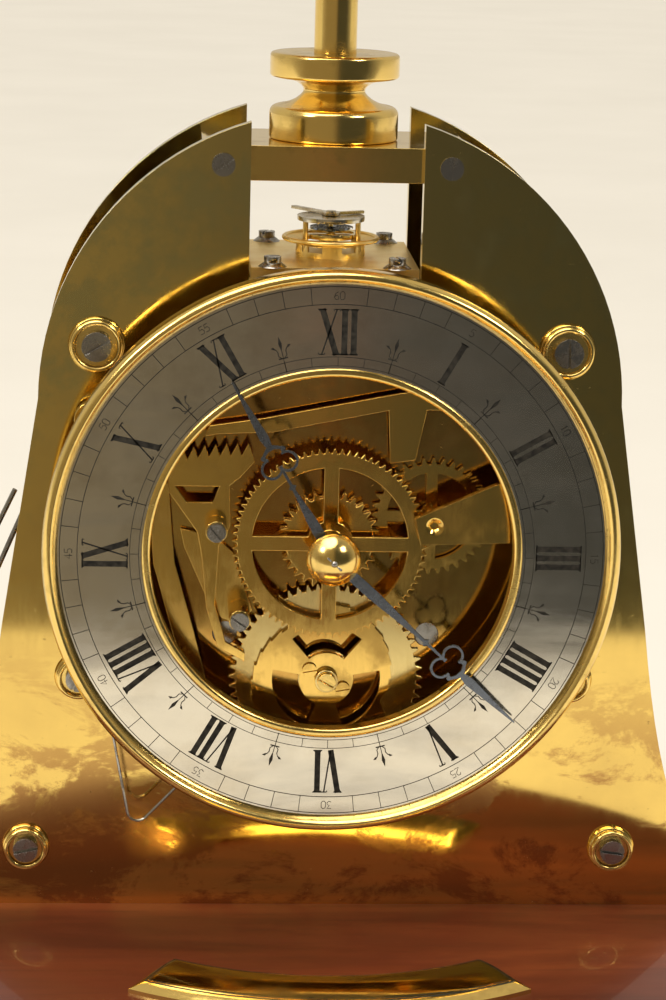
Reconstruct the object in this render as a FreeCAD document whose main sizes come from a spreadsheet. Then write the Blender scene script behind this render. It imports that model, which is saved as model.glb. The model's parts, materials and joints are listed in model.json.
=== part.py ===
"""Striking skeleton clock: two shaped brass plates on a round mahogany base.

The frame has its origin under the middle of the base, X to the right, Y away
from the dial and Z up, in millimetres.  Most of the clock is drawn in the
"movement frame", whose origin is the middle of the dial: x runs right, y runs
up and z comes out towards the viewer, so that a depth behind the dial is -z.
"""
import FreeCAD, Part
import math
import os
import Sketcher
from FreeCAD import Placement, Rotation, Vector

doc = FreeCAD.newDocument("skeleton_clock")
sheet = doc.addObject("Spreadsheet::Sheet", "Sizes")

SIZES = {
    # base
    "base_radius": 109.0, "base_height": 28.0, "foot_height": 6.0, "foot_radius": 11.0,
    "foot_circle": 82.0,
    # plates
    "plate_thick": 3.2, "plate_gap": 32.0, "dial_standoff": 16.0, "dial_rise": 81.0,
    "crown_radius": 59.5, "crown_rise": 27.6, "waist_half": 66.8, "waist_rise": -19.0,
    "skirt_half": 83.0, "hem_height": 5.0,
    "notch_half": 17.35, "notch_floor": 53.0, "hole_clearance": 0.05,
    # pillars
    "upper_pillar_x": 47.7, "upper_pillar_up": 39.3, "middle_pillar_x": 51.1,
    "middle_pillar_down": 30.5, "lower_pillar_x": 62.0, "lower_pillar_down": 68.0,
    "pillar_radius": 4.0, "washer_radius": 5.8, "washer_height": 2.6, "pillar_screw": 3.0,
    # bar and bell
    "bar_low": 72.5, "bar_high": 79.5, "bar_half": 27.0, "bar_screw_x": 22.8, "bar_screw_up": 76.0,
    "collar_radius": 13.25, "collar_height": 17.5, "standard_radius": 4.35,
    "standard_height": 76.0, "bell_radius": 31.0, "bell_height": 24.0, "bell_wall": 1.6,
    # dial
    "dial_radius": 58.0, "chapter_outer": 55.0, "chapter_inner": 38.2, "chapter_thick": 1.5,
    "window_radius": 36.5, "bezel_proud": 2.2, "dial_foot_radius": 3.6, "dial_foot_circle": 54.4,
    # motion work
    "arbor_radius": 1.5, "running_gap": 0.05, "motion_module": 0.65, "hour_module": 0.4875,
    "cannon_teeth": 30, "minute_teeth": 36, "pinion_teeth": 8, "hour_teeth": 80,
    "snail_teeth": 60, "wheel_thick": 1.2, "snail_radius": 16.0,
    "hour_hand_reach": 41.0, "minute_hand_reach": 50.7, "hand_thick": 0.6, "hand_hub": 3.6,
    # levers in front of the plate
    "rack_stud_x": 23.2, "rack_stud_up": 3.2, "lift_stud_x": 18.2, "lift_stud_down": 15.4,
    "stud_radius": 2.2, "lever_thick": 1.1,
    # going and striking trains
    "great_teeth": 96, "great_pinion": 12, "great_module": 0.55, "drum_radius": 19.6,
    "third_x": 16.5, "third_up": 12.5, "fourth_x": 0.0, "fourth_up": 20.0,
    "centre_teeth": 80, "third_teeth": 75, "train_pinion": 10, "contrate_radius": 15.5,
    "escape_pinion": 8, "crown_teeth": 80, "pin_teeth": 78, "pin_module": 0.45,
    "warning_teeth": 60, "warning_module": 0.4, "fly_pinion": 8, "train_arbor": 1.0,
    # platform
    "platform_half": 17.0, "platform_thick": 2.5, "dish_radius": 10.1, "balance_radius": 5.7,
    "escape_radius": 4.4, "cock_rise": 7.2,
}


class Size:
    """A number that remembers the spreadsheet expression it came from."""

    def __init__(self, text, value):
        self.text, self.value = text, float(value)

    def join(self, sign, other, value):
        text = other.text if isinstance(other, Size) else repr(float(other))
        return Size("(%s %s %s)" % (self.text, sign, text), value)

    def __add__(self, other):
        return self.join("+", other, self.value + float(other))

    def __sub__(self, other):
        return self.join("-", other, self.value - float(other))

    def __mul__(self, other):
        return self.join("*", other, self.value * float(other))

    def __truediv__(self, other):
        return self.join("/", other, self.value / float(other))

    def __neg__(self):
        return Size("(0 - %s)" % self.text, -self.value)

    def __float__(self):
        return self.value


def fill_sheet():
    for row, (alias, value) in enumerate(SIZES.items(), start=1):
        sheet.set("A%d" % row, alias.replace("_", " "))
        sheet.set("B%d" % row, str(value))
        sheet.setAlias("B%d" % row, alias)
    doc.recompute()


fill_sheet()


def size(alias):
    return Size("Sizes.%s" % alias, float(sheet.get(alias)))


def number(alias):
    return float(sheet.get(alias))


def bind(thing, prop, value):
    """Tie a property to the sheet when the value came from it."""
    if isinstance(value, Size):
        thing.setExpression(prop, value.text)


# Places that many pieces share.
BASE_TOP = size("foot_height") + size("base_height")
DIAL_UP = BASE_TOP + size("dial_rise")
MID_DEPTH = size("dial_standoff") + size("plate_thick") + size("plate_gap") / 2
PLATE_FRONT = size("dial_standoff")
PLATE_BACK = size("dial_standoff") + size("plate_thick")
REAR_FRONT = PLATE_BACK + size("plate_gap")
REAR_BACK = REAR_FRONT + size("plate_thick")
UPRIGHT = Rotation(Vector(1, 0, 0), 90)
SUBPARTS = []
PLATE_SCREWS = []
STUDS = []


def place_in_movement(thing):
    """Put a piece that was drawn about the dial's middle into the clock."""
    thing.Placement = Placement(Vector(0, -float(MID_DEPTH), float(DIAL_UP)), UPRIGHT)
    thing.setExpression("Placement.Base.y", "0 - " + MID_DEPTH.text)
    thing.setExpression("Placement.Base.z", DIAL_UP.text)


def keep(thing, label, in_movement=True):
    thing.Label = label
    if in_movement:
        place_in_movement(thing)
    SUBPARTS.append(thing)
    return thing


def shape_part(label, shape, in_movement=True):
    """A piece whose outline no standard feature draws, such as a toothed wheel."""
    thing = doc.addObject("Part::Feature", label)
    thing.Shape = shape
    return keep(thing, label, in_movement)


def plane_of(body, role):
    for feature in body.Origin.OriginFeatures:
        if feature.Role == role:
            return feature
    raise ValueError(role)


def new_sketch(body, name, role):
    sketch = body.newObject("Sketcher::SketchObject", name)
    sketch.AttachmentSupport = [(plane_of(body, role), "")]
    sketch.MapMode = "FlatFace"
    return sketch


def sketch_edges(sketch, wires):
    for wire in wires:
        for edge in wire.OrderedEdges:
            first, last = edge.ParameterRange
            ends = [edge.valueAt(first), edge.valueAt(last)]
            if edge.Curve.TypeId == "Part::GeomLine":
                sketch.addGeometry(Part.LineSegment(*ends), False)
            elif edge.Curve.TypeId == "Part::GeomCircle" and edge.Closed:
                sketch.addGeometry(Part.Circle(edge.Curve.Center, Vector(0, 0, 1), edge.Curve.Radius), False)
            elif edge.Curve.TypeId == "Part::GeomCircle":
                middle = edge.valueAt((first + last) / 2)
                sketch.addGeometry(Part.Arc(ends[0], middle, ends[1]), False)
            else:
                sketch.addGeometry(edge.Curve.toBSpline(first, last), False)


def slab(label, wires, thick, depth):
    """A flat piece cut from sheet: its front face lies at a depth behind the dial."""
    body = doc.addObject("PartDesign::Body", label)
    sketch = new_sketch(body, label + "_outline", "XY_Plane")
    sketch_edges(sketch, wires)
    sketch.AttachmentOffset = Placement(Vector(0, 0, -float(depth)), Rotation())
    if isinstance(depth, Size):
        sketch.setExpression("AttachmentOffset.Base.z", "0 - " + depth.text)
    pad = body.newObject("PartDesign::Pad", label + "_sheet")
    pad.Profile = sketch
    pad.Reversed = True
    pad.Length = float(thick)
    bind(pad, "Length", thick)
    return keep(body, label)


def lathe(label, profile, at=(0.0, 0.0, 0.0), in_movement=False):
    """A turned piece: profile holds (radius, height) pairs and turns about Z."""
    body = doc.addObject("PartDesign::Body", label)
    sketch = new_sketch(body, label + "_profile", "XZ_Plane")
    count = len(profile)
    points = [Vector(float(radius), float(height), 0) for radius, height in profile]
    for index in range(count):
        sketch.addGeometry(Part.LineSegment(points[index], points[(index + 1) % count]), False)
    for index in range(count):
        sketch.addConstraint(Sketcher.Constraint("Coincident", index, 2, (index + 1) % count, 1))
    for index, (radius, height) in enumerate(profile):
        for kind, value in (("DistanceX", radius), ("DistanceY", height)):
            axis = -2 if kind == "DistanceX" else -1
            if abs(float(value)) < 1e-9:
                sketch.addConstraint(Sketcher.Constraint("PointOnObject", index, 1, axis))
                continue
            tie = sketch.addConstraint(Sketcher.Constraint(kind, -1, 1, index, 1, float(value)))
            if isinstance(value, Size):
                sketch.setExpression("Constraints[%d]" % tie, value.text)
    turned = body.newObject("PartDesign::Revolution", label + "_turned")
    turned.Profile = sketch
    turned.ReferenceAxis = (sketch, ["V_Axis"])
    turned.Angle = 360.0
    keep(body, label, in_movement)
    if not in_movement:
        body.Placement = Placement(Vector(*[float(value) for value in at]), Rotation())
        for axis, value in zip("xyz", at):
            if isinstance(value, Size):
                body.setExpression("Placement.Base." + axis, value.text)
    return body


# Shape helpers, all in the movement frame.

def rod(x, y, front, back, radius, inner=0.0):
    """A round piece along the depth, from one depth to a deeper one."""
    whole = Part.makeCylinder(radius, back - front, Vector(x, y, -back))
    if inner > 0:
        whole = whole.cut(Part.makeCylinder(inner, back - front, Vector(x, y, -back)))
    return whole


def circle_wire(x, y, radius):
    return Part.Wire([Part.makeCircle(radius, Vector(x, y, 0))])


def polygon_wire(points):
    corners = [Vector(x, y, 0) for x, y in points]
    return Part.makePolygon(corners + corners[:1])


def solid_of(wires, front, back):
    """Cut a sheet between two depths from an outline and its holes."""
    faces = [Part.Face(wire) for wire in wires]
    area = faces[0]
    for hole in faces[1:]:
        area = area.cut(hole)
    area.translate(Vector(0, 0, -back))
    return area.extrude(Vector(0, 0, back - front))


def turn(shape, x, y, degrees):
    shape.rotate(Vector(x, y, 0), Vector(0, 0, 1), degrees)
    return shape


def joined(pieces):
    whole = pieces[0]
    for piece in pieces[1:]:
        whole = whole.fuse(piece)
    return whole.removeSplitter()


def tooth_points(teeth, module, phase=0.0, fullness=0.40):
    """Corners of a wheel's toothed edge; phase is in tooth pitches."""
    pitch_radius = teeth * module / 2
    tip = pitch_radius + 0.80 * module
    root = pitch_radius - 1.15 * module
    step = 2 * math.pi / teeth
    half_tip = 0.20 * fullness
    half_root = 0.75 * fullness
    points = []
    for index in range(teeth):
        middle = (index + phase) * step
        for radius, share in ((root, -half_root), (tip, -half_tip), (tip, half_tip), (root, half_root)):
            angle = middle + share * step
            points.append((radius * math.cos(angle), radius * math.sin(angle)))
    return points


def toothed(teeth, module, x, y, front, back, phase=0.0, bore=0.0, fullness=0.40):
    points = [(x + px, y + py) for px, py in tooth_points(teeth, module, phase, fullness)]
    wires = [polygon_wire(points)]
    if bore > 0:
        wires.append(circle_wire(x, y, bore))
    return solid_of(wires, front, back)


def mesh_phase(leader_teeth, leader_phase, teeth, angle):
    """Phase that puts a space of the follower where a leader's tooth points at it."""
    leader_steps = angle / (2 * math.pi) * leader_teeth - leader_phase
    own_steps = (angle + math.pi) / (2 * math.pi) * teeth
    return own_steps + leader_steps + 0.5


def spoke_window(x, y, inner, outer, start, stop):
    """The opening between two spokes, as a ring sector with square corners."""
    def at(radius, degrees):
        spot = math.radians(degrees)
        return Vector(x + radius * math.cos(spot), y + radius * math.sin(spot), 0)
    middle = (start + stop) / 2
    edges = [
        Part.Arc(at(outer, start), at(outer, middle), at(outer, stop)).toShape(),
        Part.LineSegment(at(outer, stop), at(inner, stop)).toShape(),
        Part.Arc(at(inner, stop), at(inner, middle), at(inner, start)).toShape(),
        Part.LineSegment(at(inner, start), at(outer, start)).toShape(),
    ]
    return Part.Wire(edges)


def crossed_wheel(teeth, module, x, y, front, back, phase=0.0, spokes=4, spoke=2.6, hub=3.4,
                  rim=2.2, bore=0.0, turned=0.0):
    """A toothed wheel with straight parallel-sided spokes."""
    wheel = toothed(teeth, module, x, y, front, back, phase)
    inner_rim = teeth * module / 2 - 1.15 * module - rim
    ring = rod(x, y, front, back, inner_rim, hub)
    for index in range(spokes):
        bar = Part.makeBox(inner_rim + 1, spoke, back - front, Vector(x, y - spoke / 2, -back))
        ring = ring.cut(turn(bar, x, y, turned + index * 360.0 / spokes))
    wheel = wheel.cut(ring)
    if bore > 0:
        wheel = wheel.cut(rod(x, y, front, back, bore))
    return wheel


def pivoted(x, y, radius, pivot):
    """An arbor between the plates, with thin pivots that run in both of them."""
    inside_front, inside_back = float(PLATE_BACK) + 0.25, float(REAR_FRONT) - 0.25
    body = rod(x, y, inside_front, inside_back, radius)
    front_pivot = rod(x, y, float(PLATE_FRONT) + 0.2, inside_front, pivot)
    back_pivot = rod(x, y, inside_back, float(REAR_BACK) - 0.2, pivot)
    return joined([body, front_pivot, back_pivot])


def slotted_head(x, y, face, radius, head, slot_angle, slot=0.6):
    """A screw's round head, with a slot across it, standing in front of a face."""
    crown = rod(x, y, face - head, face, radius)
    corner = Vector(x - radius * 1.2, y - slot / 2, head * 0.45 - face)
    bar = Part.makeBox(radius * 2.4, slot, head * 0.56, corner)
    return crown.cut(turn(bar, x, y, slot_angle))


def slotted_screw(x, y, face, head_radius, head, shank_radius, shank, slot_angle, slot=0.6):
    head = slotted_head(x, y, face, head_radius, head, slot_angle, slot)
    return joined([head, rod(x, y, face, face + shank, shank_radius)])


def pillar_places():
    upper = (number("upper_pillar_x"), number("upper_pillar_up"))
    middle = (number("middle_pillar_x"), -number("middle_pillar_down"))
    lower = (number("lower_pillar_x"), -number("lower_pillar_down"))
    return [(side * x, y) for x, y in (upper, middle, lower) for side in (-1, 1)]


def bar_screw_places():
    return [(side * number("bar_screw_x"), number("bar_screw_up")) for side in (-1, 1)]


# ---------------------------------------------------------------- base

def make_base():
    radius, high = size("base_radius"), size("base_height")
    profile = [
        (0.0, 0.0), (radius - 2.0, 0.0), (radius, high * 0.09),
        (radius, high * 0.30), (radius - 3.0, high * 0.38), (radius - 3.6, high * 0.52),
        (radius - 2.4, high * 0.66), (radius - 1.0, high * 0.74), (radius - 1.0, high - 1.2),
        (radius - 2.2, high), (0.0, high),
    ]
    lathe("base_plinth", profile, (0.0, 0.0, size("foot_height")))
    feet = []
    for index in range(3):
        angle = math.radians(90 + 120 * index)
        spot = Vector(number("foot_circle") * math.cos(angle), number("foot_circle") * math.sin(angle), 0)
        foot = Part.makeCylinder(number("foot_radius"), number("foot_height"), spot)
        feet.append(foot.makeFillet(1.6, [foot.Edges[0], foot.Edges[2]]))
    shape_part("base_feet", Part.makeCompound(feet), in_movement=False)


def make_nameplate():
    """A plain bevelled arc of brass lying on the base in front of the plates."""
    inner, outer, thick, half_angle, bevel = 59.0, 76.0, 2.8, 31.5, 1.6
    low = Vector(0, 0, float(BASE_TOP))
    wedge = Part.makeCylinder(outer, thick, low, Vector(0, 0, 1), 2 * half_angle)
    wedge.rotate(Vector(), Vector(0, 0, 1), -90 - half_angle)
    wedge = wedge.cut(Part.makeCylinder(inner, thick, low))
    top_edges = [edge for edge in wedge.Edges
                 if all(abs(vertex.Z - float(BASE_TOP) - thick) < 1e-6 for vertex in edge.Vertexes)]
    shape_part("nameplate", wedge.makeChamfer(bevel, top_edges), in_movement=False)


# ---------------------------------------------------------------- frame

def plate_outline():
    """One plate: a round crown, leaning sides, a flared skirt and a deep notch."""
    crown, rise = number("crown_radius"), number("crown_rise")
    notch, floor, bottom = number("notch_half"), number("notch_floor"), -number("dial_rise")
    top = Vector(notch, rise + math.sqrt(crown ** 2 - notch ** 2), 0)
    shoulder = Vector(crown, rise + 0.4, 0)
    middle_angle = math.atan2(top.y - rise, top.x) / 2
    crest = Vector(crown * math.cos(middle_angle), rise + crown * math.sin(middle_angle), 0)
    waist = Vector(number("waist_half"), number("waist_rise"), 0)
    skirt = Vector(number("skirt_half"), bottom + number("hem_height"), 0)
    hem = Vector(number("skirt_half"), bottom, 0)
    drop = waist.y - skirt.y
    spread = skirt.x - waist.x
    side = Part.BSplineCurve()
    side.interpolate([waist, Vector(waist.x + spread * 0.17, waist.y - drop * 0.32, 0),
                      Vector(waist.x + spread * 0.41, waist.y - drop * 0.61, 0), skirt])

    def flip(point, way):
        return Vector(point.x * way, point.y, 0)

    edges = []
    for way in (1, -1):
        edges.append(Part.LineSegment(flip(Vector(notch, floor, 0), way), flip(top, way)).toShape())
        edges.append(Part.Arc(flip(top, way), flip(crest, way), flip(shoulder, way)).toShape())
        edges.append(Part.LineSegment(flip(shoulder, way), flip(waist, way)).toShape())
        flare = side.toShape()
        if way < 0:
            flare = flare.mirror(Vector(), Vector(1, 0, 0))
        edges.append(flare)
        edges.append(Part.LineSegment(flip(skirt, way), flip(hem, way)).toShape())
    edges.append(Part.LineSegment(Vector(-notch, floor, 0), Vector(notch, floor, 0)).toShape())
    edges.append(Part.LineSegment(hem, flip(hem, -1)).toShape())
    return Part.Wire(Part.__sortEdges__(edges))


def train_places():
    return {
        "centre": (0.0, 0.0),
        "third": (number("third_x"), number("third_up")),
        "fourth": (number("fourth_x"), number("fourth_up")),
        "pin": PIN_PLACE, "warning": WARNING_PLACE, "fly": FLY_PLACE,
    }


def around(centre, distance, degrees):
    angle = math.radians(degrees)
    return (centre[0] + distance * math.cos(angle), centre[1] + distance * math.sin(angle))


def mesh_distance(first_teeth, second_teeth, module):
    return (first_teeth + second_teeth) * module / 2


GREAT_REACH = mesh_distance(SIZES["great_teeth"], SIZES["great_pinion"], SIZES["great_module"])
GOING_BARREL = around((0.0, 0.0), GREAT_REACH, 225)
STRIKE_BARREL = around((0.0, 0.0), GREAT_REACH, -45)
PIN_PLACE = around(STRIKE_BARREL, GREAT_REACH, 50)
WARNING_REACH = mesh_distance(SIZES["pin_teeth"], SIZES["fly_pinion"], SIZES["pin_module"])
WARNING_PLACE = around(PIN_PLACE, WARNING_REACH, 104)
FLY_PLACE = around(WARNING_PLACE, mesh_distance(SIZES["warning_teeth"], SIZES["fly_pinion"],
                                                SIZES["warning_module"]), 98)
MINUTE_REACH = mesh_distance(SIZES["cannon_teeth"], SIZES["minute_teeth"], SIZES["motion_module"])
MINUTE_PLACE = around((0.0, 0.0), MINUTE_REACH, 13)
SNAIL_PLACE = (0.0, -mesh_distance(SIZES["cannon_teeth"], SIZES["snail_teeth"], SIZES["motion_module"]))
RACK_STUD = (-SIZES["rack_stud_x"], SIZES["rack_stud_up"])
LIFT_STUD = (-SIZES["lift_stud_x"], -SIZES["lift_stud_down"])
HOOK_STUD = (30.0, 29.5)
WIRE_ARBOR = (-52.0, 11.0)
COCK_SCREWS = [(39.6, 12.0), (41.2, 4.4)]
PIVOT, PIVOT_HOLE = 0.7, 0.75
CLICK_SCREW = 1.0


def dial_foot_places():
    return [around((0.0, 0.0), number("dial_foot_circle"), degrees) for degrees in (27, 153, 249, 291)]


def click_screw_places():
    """The going click stands left of its barrel and the striking click right of its own."""
    return [(x + side * 13.4, y + 7.0) for (x, y), side in ((GOING_BARREL, -1), (STRIKE_BARREL, 1))]


def plate_holes(front):
    """Round holes of one plate: pivots, arbors, pillar and bar screws."""
    gap = number("running_gap")
    holes = [(x, y, PIVOT_HOLE) for name, (x, y) in train_places().items() if name != "centre"]
    holes.append((0.0, 0.0, number("arbor_radius") + gap))
    holes += [(x, y, number("pillar_screw") / 2) for x, y in pillar_places()]
    holes += [(x, y, 1.2) for x, y in bar_screw_places()]
    holes.append((WIRE_ARBOR[0], WIRE_ARBOR[1], 1.0 + gap))
    winding = 2.5 + gap
    holes += [(x, y, winding) for x, y in (GOING_BARREL, STRIKE_BARREL)]
    if not front:
        holes += [(x, y, CLICK_SCREW) for x, y in click_screw_places()]
    else:
        holes += [(x, y, 1.0) for x, y in dial_foot_places()]
        holes += [(x, y, 0.9) for x, y in (RACK_STUD, LIFT_STUD, HOOK_STUD)]
        holes += [(MINUTE_PLACE[0], MINUTE_PLACE[1], PIVOT_HOLE), (SNAIL_PLACE[0], SNAIL_PLACE[1], 1.2)]
        holes += [(x, y, 0.9) for x, y in COCK_SCREWS]
    return holes


def make_plates():
    outline = plate_outline()
    for label, depth, front in (("front_plate", PLATE_FRONT, True), ("back_plate", REAR_FRONT, False)):
        wires = [outline] + [circle_wire(x, y, radius) for x, y, radius in plate_holes(front)]
        slab(label, wires, size("plate_thick"), depth)


def make_pillars():
    inside_front, inside_back = float(PLATE_BACK), float(REAR_FRONT)
    pillars, caps, screws = [], [], []
    shank = number("pillar_screw") / 2
    high, wide = number("washer_height"), number("washer_radius")
    for index, (x, y) in enumerate(pillar_places()):
        whole = rod(x, y, inside_front, inside_back, number("pillar_radius"))
        waist = rod(x, y, inside_front + 6, inside_back - 6, number("pillar_radius") + 1)
        waist = waist.cut(rod(x, y, inside_front + 6, inside_back - 6, number("pillar_radius") - 0.9))
        drilled = rod(x, y, inside_front, inside_back, shank)
        pillars.append(whole.cut(waist).cut(drilled))
        angle = (30, 92, 64, 20, 12, -8)[index]
        scale = 1.0 if index < 2 else 0.86
        for face, way in ((float(PLATE_FRONT), 1), (float(REAR_BACK), -1)):
            ring = cup_washer(x, y, wide * scale, high, shank)
            screw = slotted_screw(x, y, -high + 0.9, 3.0 * scale, 1.5, shank, 9.0, angle)
            for shape, keepers in ((ring, caps), (screw, screws)):
                if way < 0:
                    shape = shape.mirror(Vector(), Vector(0, 0, 1))
                shape.translate(Vector(0, 0, -face))
                keepers.append(shape)
    shape_part("frame_pillars", Part.makeCompound(pillars))
    shape_part("pillar_washers", Part.makeCompound(caps))
    shape_part("pillar_screws", Part.makeCompound(screws))


def cup_washer(x, y, radius, high, bore):
    """A dished collar standing on the plane z = 0, with a raised rim round a screw head."""
    body = rod(x, y, -high, 0, radius - 0.5).fuse(rod(x, y, -0.8, 0, radius))
    body = body.cut(rod(x, y, -high, -high + 0.9, radius - 1.5))
    return body.cut(rod(x, y, -high, 0, bore))


def make_bar():
    low, high = size("bar_low"), size("bar_high")
    bar = doc.addObject("Part::Box", "bar_blank")
    bind(bar, "Length", size("bar_half") * 2)
    bind(bar, "Width", high - low)
    bind(bar, "Height", size("plate_gap"))
    bar.Placement = Placement(Vector(-number("bar_half"), float(low), -float(REAR_FRONT)), Rotation())
    bar.setExpression("Placement.Base.x", "0 - Sizes.bar_half")
    bar.setExpression("Placement.Base.y", low.text)
    bar.setExpression("Placement.Base.z", "0 - " + REAR_FRONT.text)
    tools = []
    for index, (x, y) in enumerate(bar_screw_places()):
        hole = doc.addObject("Part::Cylinder", "bar_hole_%d" % index)
        hole.Radius = 1.2
        bind(hole, "Height", size("plate_gap"))
        hole.Placement = Placement(Vector(x, y, -float(REAR_FRONT)), Rotation())
        tools.append(hole)
    bore = doc.addObject("Part::Cylinder", "bar_bore")
    bore.Radius = 3.0
    bind(bore, "Height", high - low + 2)
    bore.Placement = Placement(Vector(0, float(low) - 1, -float(MID_DEPTH)), Rotation(Vector(1, 0, 0), -90))
    tools.append(bore)
    gathered = doc.addObject("Part::MultiFuse", "bar_tools")
    gathered.Shapes = tools
    cut = doc.addObject("Part::Cut", "top_bar_body")
    cut.Base, cut.Tool = bar, gathered
    keep(cut, "top_bar")
    screws = []
    for index, (x, y) in enumerate(bar_screw_places()):
        head = slotted_screw(x, y, 0.0, 2.35, 0.6, 1.2, 9.0, (35, 85)[index])
        rear = head.mirror(Vector(), Vector(0, 0, 1))
        head.translate(Vector(0, 0, -float(PLATE_FRONT)))
        rear.translate(Vector(0, 0, -float(REAR_BACK)))
        screws += [head, rear]
    PLATE_SCREWS.extend(screws)


def make_bell_standard():
    up = DIAL_UP + size("bar_high")
    radius, high = size("collar_radius"), size("collar_height")
    tube = size("standard_radius")
    collar = [
        (tube, 0.0), (radius - 0.4, 0.0), (radius, high * 0.03), (radius, high * 0.28),
        (radius - 1.6, high * 0.36), (tube + 4.2, high * 0.42), (tube + 2.1, high * 0.50),
        (tube + 1.7, high * 0.57), (tube + 2.2, high * 0.64), (tube + 4.0, high * 0.70),
        (radius - 1.2, high * 0.73), (radius, high * 0.79), (radius, high * 0.95),
        (radius - 0.9, high), (tube, high),
    ]
    lathe("standard_collar", collar, (0.0, 0.0, up))
    tall = size("standard_height")
    standard = [(0.0, 0.0), (tube, 0.0), (tube, tall - 4), (2.5, tall - 4), (2.5, tall), (0.0, tall)]
    lathe("bell_standard", standard, (0.0, 0.0, up))
    mouth = size("bell_radius")
    wall, deep = size("bell_wall"), size("bell_height")
    bell = [
        (2.5, deep - wall), (tube + 1.0, deep - wall), (mouth * 0.66, deep * 0.80),
        (mouth * 0.82, deep * 0.52), (mouth * 0.88, deep * 0.22), (mouth - wall, 0.0),
        (mouth, 0.0), (mouth * 0.93, deep * 0.25), (mouth * 0.88, deep * 0.54),
        (mouth * 0.72, deep * 0.84), (mouth * 0.38, deep * 0.985), (2.5, deep),
    ]
    lathe("bell", bell, (0.0, 0.0, up + tall - 4 - deep + wall))
    nut = [
        (0.0, 4.0), (2.5, 4.0), (2.5, 0.0), (6.0, 0.0), (6.2, 1.2), (4.4, 2.4),
        (4.8, 4.2), (3.8, 6.6), (2.0, 8.0), (0.0, 8.4),
    ]
    lathe("bell_nut", nut, (0.0, 0.0, up + tall - 4 + wall))


def make_hammer():
    """A clamp on the back of the standard and the hammer that swings under the bell."""
    up = float(DIAL_UP) + number("bar_high") + number("standard_height")
    tube = number("standard_radius")
    low = up - 47.0
    ring = Part.makeCylinder(tube + 2.2, 5, Vector(0, 0, low))
    ring = ring.cut(Part.makeCylinder(tube, 5, Vector(0, 0, low)))
    ears = []
    for side in (-1, 1):
        ears.append(Part.makeBox(1.6, 10, 5, Vector(side * 2.7 - 0.8, tube + 1.2, low)))
    pin_at = Vector(-4.2, tube + 8.6, low + 2.5)
    bracket = ring.fuse(ears[0]).fuse(ears[1])
    bracket = bracket.fuse(Part.makeCylinder(0.8, 8.4, pin_at, Vector(1, 0, 0)))
    shape_part("hammer_bracket", bracket.removeSplitter(), in_movement=False)
    eye = Part.makeCylinder(2.2, 3.4, Vector(-1.7, pin_at.y, pin_at.z), Vector(1, 0, 0))
    reach = 20.5
    arm = Part.makeCylinder(0.9, reach, Vector(0, pin_at.y, pin_at.z))
    head = Part.makeCylinder(3.0, 8.0, Vector(0, pin_at.y - 4.0, pin_at.z + reach), Vector(0, 1, 0))
    tail = Part.makeBox(1.8, 8.5, 1.4, Vector(-0.9, pin_at.y, pin_at.z - 0.7))
    hammer = joined([eye, arm, head, tail])
    hammer = hammer.cut(Part.makeCylinder(0.85, 8.4, pin_at, Vector(1, 0, 0)))
    shape_part("bell_hammer", hammer, in_movement=False)


# ---------------------------------------------------------------- dial and hands

def make_dial():
    outer, inner = size("dial_radius"), size("window_radius")
    chapter_out, chapter_in = size("chapter_outer"), size("chapter_inner")
    thick, proud = size("chapter_thick"), size("bezel_proud")
    lathe("chapter_ring", [
        (chapter_in, -thick), (chapter_out, -thick), (chapter_out, 0.0), (chapter_in, 0.0),
    ], in_movement=True)
    lathe("outer_bezel", [
        (chapter_out, -thick), (chapter_out - 5.0, -thick),
        (chapter_out - 5.0, -thick - 1.6), (outer - 0.5, -thick - 1.6), (outer, -thick - 1.0),
        (outer, proud * 0.35), (outer - 0.7, proud * 0.85), (outer - 1.6, proud),
        (outer - 2.4, proud * 0.7), (chapter_out, 0.2),
    ], in_movement=True)
    lathe("inner_bezel", [
        (chapter_in, -thick), (chapter_in + 3.0, -thick), (chapter_in + 3.0, -thick - 1.4),
        (inner, -thick - 1.4), (inner, proud * 0.05), (inner + 0.5, proud * 0.2),
        (chapter_in - 0.6, proud * 0.2), (chapter_in, proud * 0.05),
    ], in_movement=True)
    feet = []
    foot_front = number("chapter_thick") + 1.6
    for x, y in dial_foot_places():
        post = rod(x, y, foot_front, float(PLATE_FRONT), number("dial_foot_radius") - 1.0)
        collar = rod(x, y, float(PLATE_FRONT) - 4.6, float(PLATE_FRONT) - 1.8, number("dial_foot_radius"))
        feet.append(joined([post, collar, rod(x, y, float(PLATE_FRONT), float(PLATE_BACK) + 2.0, 1.0)]))
    shape_part("dial_feet", Part.makeCompound(feet))


def polygon_curve(upper):
    """A closed leaf: a smooth upper edge and its mirror image."""
    spline = Part.BSplineCurve()
    spline.interpolate([Vector(x, y, 0) for x, y in upper])
    above = spline.toShape()
    below = above.mirror(Vector(), Vector(0, 1, 0))
    closers = []
    for x, y in (upper[0], upper[-1]):
        closers.append(Part.LineSegment(Vector(x, y, 0), Vector(x, -y, 0)).toShape())
    return Part.Wire(Part.__sortEdges__([above, below] + closers))


def bar_wire(start, stop, half):
    return Part.makePolygon([Vector(start, half, 0), Vector(stop, half, 0), Vector(stop, -half, 0),
                             Vector(start, -half, 0), Vector(start, half, 0)])


def blade_wire(start, stop, half):
    """A long blade that swells just past its root and tapers to a fine point."""
    swell = start + (stop - start) * 0.16
    upper = [(start, half * 0.55), (swell, half), (stop, 0.12)]
    return polygon_wire(upper + [(x, -y) for x, y in upper[::-1]])


HEART_RADIUS, HEART_OFFSET, HEART_WIRE = 2.2, 1.75, 0.48


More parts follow.
